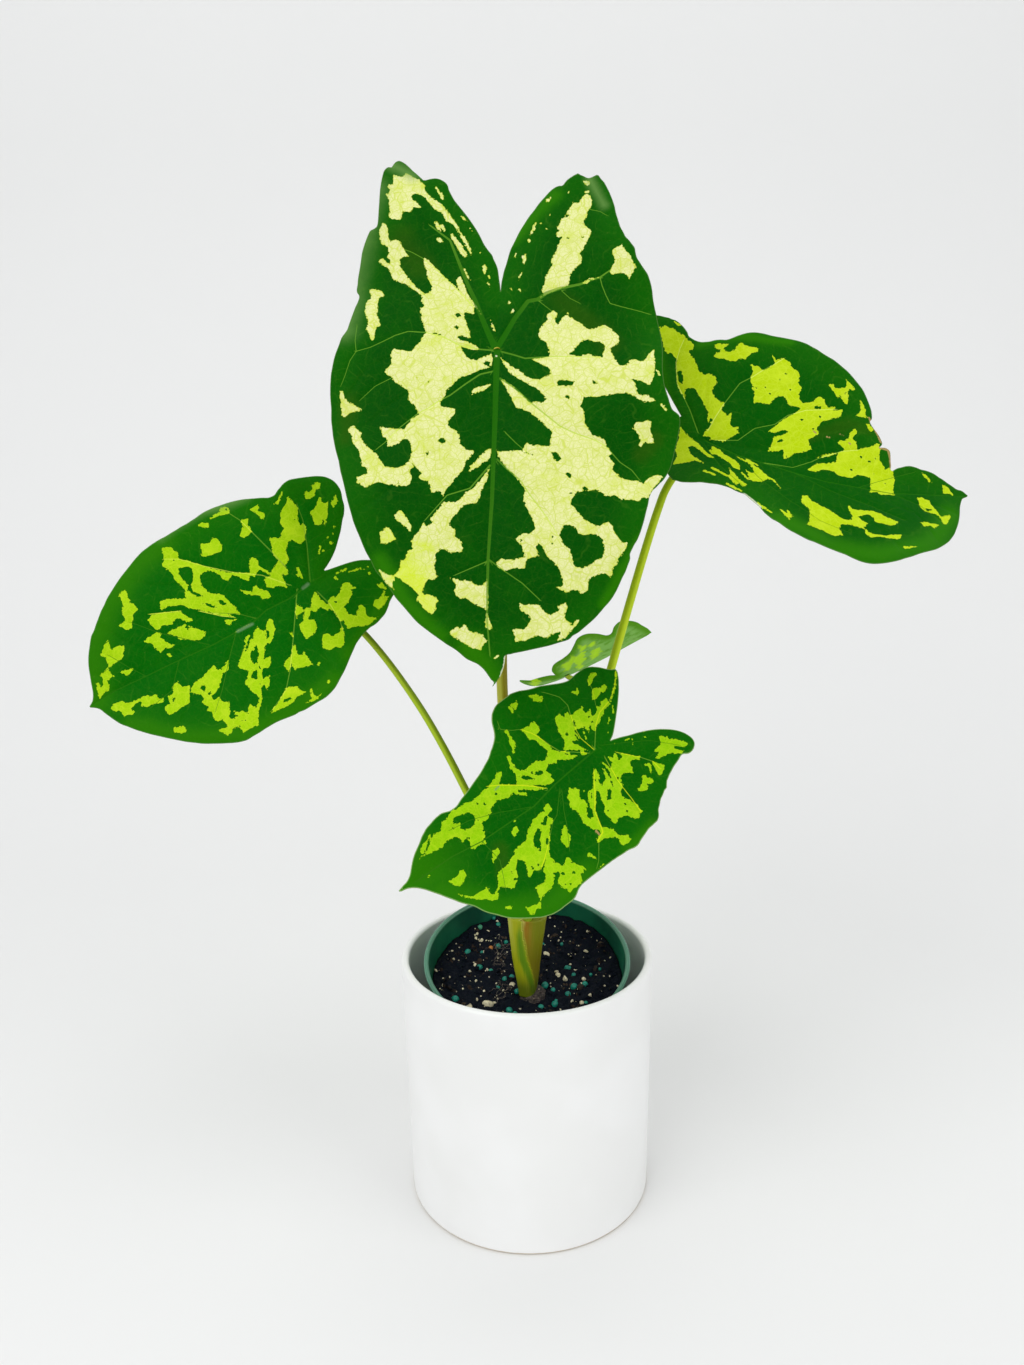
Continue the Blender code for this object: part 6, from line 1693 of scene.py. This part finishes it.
def blade_paint(name, tones):
    made, wire = new_material(name + " leaf")
    plane = wire.stored("plane")
    marks = wire.stored("marks")
    flow = wire.stored("flow")
    touch = wire.stored("touch")
    cast = wire.stored("cast")
    edge = wire.stored("rim", out=2)
    under = plane.part(2)
    flat = plane.scaled(1.0, 1.0, 0.0)
    along, away, width = flow.part(0), flow.part(1), flow.part(2)
    haze, scar, glint = (touch.part(index) for index in range(3))
    fresh, lime, drop = (cast.part(index) for index in range(3))
    dull = wire.stored("dull", out=2)

    blocks = flat.cells(1.0, out=1).part(0) - 0.5
    ragged = flat.noise(0.8, 3.0, 0.6) - 0.5
    inset = marks.part(0) + blocks * 0.6 + ragged * 0.9
    patch = inset.rise(-0.06, 0.08)
    main_vein = (width - abs(marks.part(1))).rise(-0.12, 0.08) * (away - width).rise(1.0, 0.6)
    vein_tone = marks.part(2)

    wander = flat.noise(0.05, 3.0)
    fans = ((along - away * 0.45) / 4.6 + wander * 2.6).fraction()
    side_vein = abs(fans - 0.5).rise(0.08, 0.02) * flat.noise(0.14, 2.0).rise(0.42, 0.62)
    side_vein = side_vein * away.rise(0.3, 1.0)
    drift = flat.make("TexNoise", {"Vector": flat, "Scale": 0.25}, out=1)
    bent = flat.shifted(drift.scaled(3.0, 3.0, 0.0))
    coarse_net = bent.cells(0.24, "DISTANCE_TO_EDGE").rise(0.055, 0.015)
    fine_net = bent.cells(0.62, "DISTANCE_TO_EDGE").rise(0.11, 0.02)

    mottle = flat.noise(0.06, 4.0, 0.6)
    green = edge.rise(20.0, 1.5).tint(tones["deep"], tones["edge"])
    green = (mottle.rise(0.42, 0.75) * 0.4).tint(green, tones["edge"])
    green = (side_vein * 0.08 + coarse_net * 0.03 + fine_net * 0.02).tint(green, VEIN_LIGHT)
    green = ((fresh + (mottle - 0.5) * 0.5).rise(0.0, 1.0) * 0.9).tint(green, FRESH)
    green = ((dull + (mottle - 0.5) * 1.2).rise(0.1, 0.9) * 0.35).tint(green, DULL)
    streaks = (flat.noise(0.10, 4.0, 0.6) + (mottle - 0.5) * 0.3).rise(0.45, 0.68)
    pale = (streaks * 0.40).tint(tones["patch"], tones["net"])
    lines = (side_vein * 0.5).higher(coarse_net * 0.7).higher(fine_net * 0.4)
    pale = lines.tint(pale, tones["net"])
    pale = ((lime + (streaks - 0.5) * 0.5).rise(0.0, 0.9) * 0.75).tint(pale, LIME)
    pale = (flat.noise(1.5, 2.0).rise(0.58, 0.7) * 0.25).tint(pale, tones["speck"])
    pale = inset.rise(-0.05, 0.4).tint(tones["net"], pale)
    colour = patch.tint(green, pale)

    vein_colour = vein_tone.rise(0.15, 0.65).tint(VEIN_OLIVE, VEIN_LIGHT)
    vein_colour = (patch * vein_tone.rise(0.3, 0.6)).tint(vein_colour, tones["vein"])
    vein_colour = vein_tone.rise(0.75, 1.0).tint(vein_colour, tones["vein"])
    colour = (main_vein * 0.85).tint(colour, vein_colour)
    colour = (edge.rise(0.55, 0.15) * tones["rim"]).tint(colour, RIM_LINE)
    # Painted sheen, along the touches drawn for it.
    colour = ((haze + (mottle - 0.5) * 0.4).rise(0.1, 1.5) * 0.9).tint(colour, PAINTED_SHEEN)
    colour = (glint.rise(0.0, 0.9) * 0.7).tint(colour, GLINT)
    colour = ((scar + ragged * 0.5).rise(0.05, 0.5) * 0.9).tint(colour, SCAR)
    # Painted highlights, along the touches drawn for them.
    colour = (drop.rise(0.1, 0.5) * 0.9).tint(colour, PAINTED_HIGHLIGHT)

    streaky = flat.scaled(1.0, 0.35, 1.0).noise(0.35, 4.0, 0.6)
    beneath = edge.rise(6.0, 1.0).tint(tones["under"], tones["under edge"])
    beneath = (streaky.rise(0.48, 0.62) * 0.7).tint(beneath, tones["under edge"])
    seen_through = (marks.part(0) + (streaky - 0.5) * 9.0).rise(-0.9, 0.9) * 0.9
    beneath = seen_through.tint(beneath, tones["under patch"])
    under_veins = (side_vein * 0.4 + main_vein * 0.8 + fine_net * 0.15).lower(1.0) * 0.4
    beneath = under_veins.tint(beneath, UNDER_VEIN)
    colour = under.rise(0.3, 0.7).tint(colour, beneath)
    relief = fine_net * -0.1 + coarse_net * -0.2 + side_vein * -0.3
    relief = relief + flat.noise(0.9, 3.0) * 0.2 + main_vein * -0.5
    wire.surface(
        {
            "Base Color": colour,
            "Roughness": 0.50 + mottle * 0.10 + under * 0.2 + patch * 0.04,
            "Normal": relief.bump(0.3, 0.2),
            "Specular IOR Level": 0.03,
        }
    )
    return made


def relief_of(distance, gap, vein_inset):
    """How far the upper face stands above its smooth form: puffed, but sunk along the veins."""
    swell = np.sin(np.pi / 2 * np.clip(distance / 8.0, 0.0, 1.0))
    puffed = LEAF_PUFF * swell * np.clip(gap / 3.0, 0.3, 1.0)
    sunk = VEIN_SINK * np.exp(-((distance / VEIN_BLUR) ** 2))
    return puffed - sunk - MIDDLE_SINK * (vein_inset > 0)


for name, leaf in LEAVES.items():
    marks = MARKS[name]
    outline = traced_outline(leaf, marks["edge"])
    low, high = outline.min(axis=0) - 1.0, outline.max(axis=0) + 1.0
    rows = np.arange(low[1], high[1], LEAF_SPACING * math.sqrt(3) / 2)
    lattice = []
    for row, y in enumerate(rows):
        start = low[0] + (row % 2) * LEAF_SPACING / 2
        lattice += [(x, y) for x in np.arange(start, high[0], LEAF_SPACING)]
    lattice = np.array(lattice)
    lattice = lattice[inside(lattice, outline)]
    lattice = lattice[away_from(lattice, outline, closed=True)[0] > LEAF_SPACING * 0.55]
    corners = [Vector(point) for point in np.vstack((outline, lattice)).tolist()]
    loop = list(range(len(outline)))
    made_points, _, made_faces, *_ = delaunay_2d_cdt(corners, [], [loop], 1, 1e-7)
    flat = np.array([(point.x, point.y) for point in made_points])
    faces = np.array([face for face in made_faces if len(face) == 3])

    find = pixel_finder(leaf, flat)
    lines = []
    for text in marks["veins"].split(";"):
        sizes, pixels = text.split(":")
        widths = [float(part) for part in sizes.split()]
        lines.append((widths, find(drawn(pixels)[0])))
    patches = [find(loop) for loop in drawn(marks["patches"])]
    holes = [find(loop) for loop in drawn(marks["holes"])]
    dots = {}
    for kind in ("dark dots", "pale dots"):
        spots = [spot for row in drawn(marks[kind]) for spot in row]
        centres = find([spot[:2] for spot in spots])
        dots[kind] = [(centre, spot[2] / DOT_PIXELS) for centre, spot in zip(centres, spots)]
    pale = signed(flat, patches, dots["pale dots"])
    pale = np.minimum(pale, -signed(flat, holes, dots["dark dots"]))

    distance = np.full(len(flat), 1e3)
    second = np.full(len(flat), 1e3)
    place_along, offset, width, tone = (np.zeros(len(flat)) for _ in range(4))
    vein_inset = np.full(len(flat), -50.0)
    for (start_width, end_width, start_tone, end_tone), line in lines:
        gap, passed, hand = away_from(flat, line)
        share = passed / max(passed.max(), 1e-9)
        width_here = PIXEL * (start_width + (end_width - start_width) * share)
        best = width_here - gap > vein_inset
        vein_inset = np.maximum(vein_inset, width_here - gap)
        offset = np.where(best, hand * gap, offset)
        width = np.where(best, width_here, width)
        tone = np.where(best, start_tone + (end_tone - start_tone) * share, tone)
        closer = gap < distance
        second = np.where(closer, distance, np.minimum(second, gap))
        place_along = np.where(closer, passed, place_along)
        distance = np.minimum(distance, gap)
    between = second - distance
    rim = away_from(flat, outline, closed=True)[0]
    touch = np.zeros((len(flat), len(TOUCH_KINDS)))
    for text in marks["touches"].split(";"):
        kind, half_width = text.split(":")[0].split()
        gap = away_from(flat, find(drawn(text.split(":")[1])[0]))[0]
        column = TOUCH_KINDS.index(kind)
        touch[:, column] = np.maximum(touch[:, column], 1.0 - gap / (PIXEL * float(half_width)))

    smooth = blade_surface(leaf, flat[:, 0], flat[:, 1])
    ahead = blade_surface(leaf, flat[:, 0], flat[:, 1] + 0.2) - smooth
    aside = blade_surface(leaf, flat[:, 0] + 0.2, flat[:, 1]) - smooth
    outward = np.cross(aside, ahead)
    outward /= np.linalg.norm(outward, axis=1)[:, None]
    raised = relief_of(distance, between, vein_inset) * np.clip(rim / 3.0, 0.0, 1.0)
    thinned = RIM_THICKNESS + (1.0 - RIM_THICKNESS) * np.clip(rim / RIM_REACH, 0.0, 1.0)
    upper = smooth + outward * raised[:, None]
    rib = np.clip(vein_inset + 0.6, 0.0, 2.0) * RIB_HEIGHT
    lower = smooth + outward * (raised * 0.5 - BLADE_THICKNESS * thinned - rib)[:, None]
    count = len(flat)
    sides = np.vstack((faces[:, [0, 1]], faces[:, [1, 2]], faces[:, [2, 0]]))
    _, index, users = np.unique(
        np.sort(sides, axis=1), axis=0, return_index=True, return_counts=True
    )
    start, end = sides[index[users == 1]].T
    border = np.vstack(
        (
            np.column_stack((end, start, start + count)),
            np.column_stack((end, start + count, end + count)),
        )
    )
    blade = new_piece(
        "leaf_" + name,
        np.vstack((upper, lower)),
        np.vstack((faces, faces[:, ::-1] + count, border)),
        blade_paint(name, LEAF_TONES[name]),
    )
    both = [np.concatenate((row, row)) for row in (*flat.T, pale, offset, tone)]
    store(blade, "plane", np.column_stack((*both[:2], np.repeat((0.0, 1.0), count))))
    store(blade, "marks", np.column_stack(both[2:]))
    store(blade, "flow", np.tile(np.column_stack((place_along, distance, width)), (2, 1)))
    store(blade, "touch", np.tile(touch[:, :3], (2, 1)))
    store(blade, "cast", np.tile(touch[:, 3:6], (2, 1)))
    store(blade, "dull", np.tile(touch[:, 6], 2))
    store(blade, "rim", np.tile(rim, 2))
    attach(blade, "root")
    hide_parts("blade_" + name)

# Floor, backdrop and light
# A plain pale paper sweep, and large soft lamps: one high at the front left, one at the right and
# one overhead, with a bright surround, as in a white studio.
PAPER = (0.89, 0.89, 0.885)
PAPER_SHADE = (0.885, 0.885, 0.88)
# The paper glows faintly: painted light that softens the shadows on it.
PAPER_GLOW = 0.05
SWEEP_WIDTH = 6.0
SWEEP_FRONT = -3.0
SWEEP_BACK = 1.2
SWEEP_RADIUS = 0.8
SWEEP_HEIGHT = 4.0
LAMPS = [
    # place, aim, width, height, watts
    ((-1.1, -1.3, 1.7), (0.0, 0.0, 0.3), 1.6, 1.6, 22.0),
    ((1.5, -1.0, 1.2), (0.0, 0.0, 0.25), 1.4, 1.4, 11.0),
    ((0.0, 0.3, 2.3), (0.0, 0.0, 0.2), 2.2, 2.2, 12.0),
]
SURROUND = (0.95, 0.97, 1.0)
SURROUND_STRENGTH = 0.57

paper, wire = new_material("pale paper")
place = wire.place()
wire.surface(
    {
        "Base Color": place.noise(0.004, 2.0).tint(PAPER, PAPER_SHADE),
        "Roughness": 0.85,
        "Specular IOR Level": 0.1,
        "Emission Color": srgb(*PAPER),
        "Emission Strength": PAPER_GLOW,
    }
)
bend_centre = (SWEEP_BACK - SWEEP_RADIUS, SWEEP_RADIUS)
sweep = [(SWEEP_FRONT, 0.0), *arc(bend_centre, SWEEP_RADIUS, -90.0, 0.0, 16)]
sweep.append((SWEEP_BACK, SWEEP_HEIGHT))
points = [(side * SWEEP_WIDTH / 2 / MM, y / MM, z / MM) for y, z in sweep for side in (-1, 1)]
faces = [(2 * step, 2 * step + 1, 2 * step + 3, 2 * step + 2) for step in range(len(sweep) - 1)]
backdrop = new_piece("paper_sweep", points, faces, paper)

for index, (place, aim, width, height, watts) in enumerate(LAMPS):
    lamp = bpy.data.lights.new(f"softbox {index + 1}", "AREA")
    lamp.shape = "RECTANGLE"
    lamp.size, lamp.size_y = width, height
    lamp.energy = watts
    holder = bpy.data.objects.new(lamp.name, lamp)
    holder.location = place
    holder.rotation_euler = (Vector(aim) - Vector(place)).to_track_quat("-Z", "Y").to_euler()
    bpy.context.scene.collection.objects.link(holder)

world = bpy.data.worlds.new("white studio")
world.use_nodes = True
world.node_tree.nodes["Background"].inputs["Color"].default_value = (*SURROUND, 1.0)
world.node_tree.nodes["Background"].inputs["Strength"].default_value = SURROUND_STRENGTH
bpy.context.scene.world = world
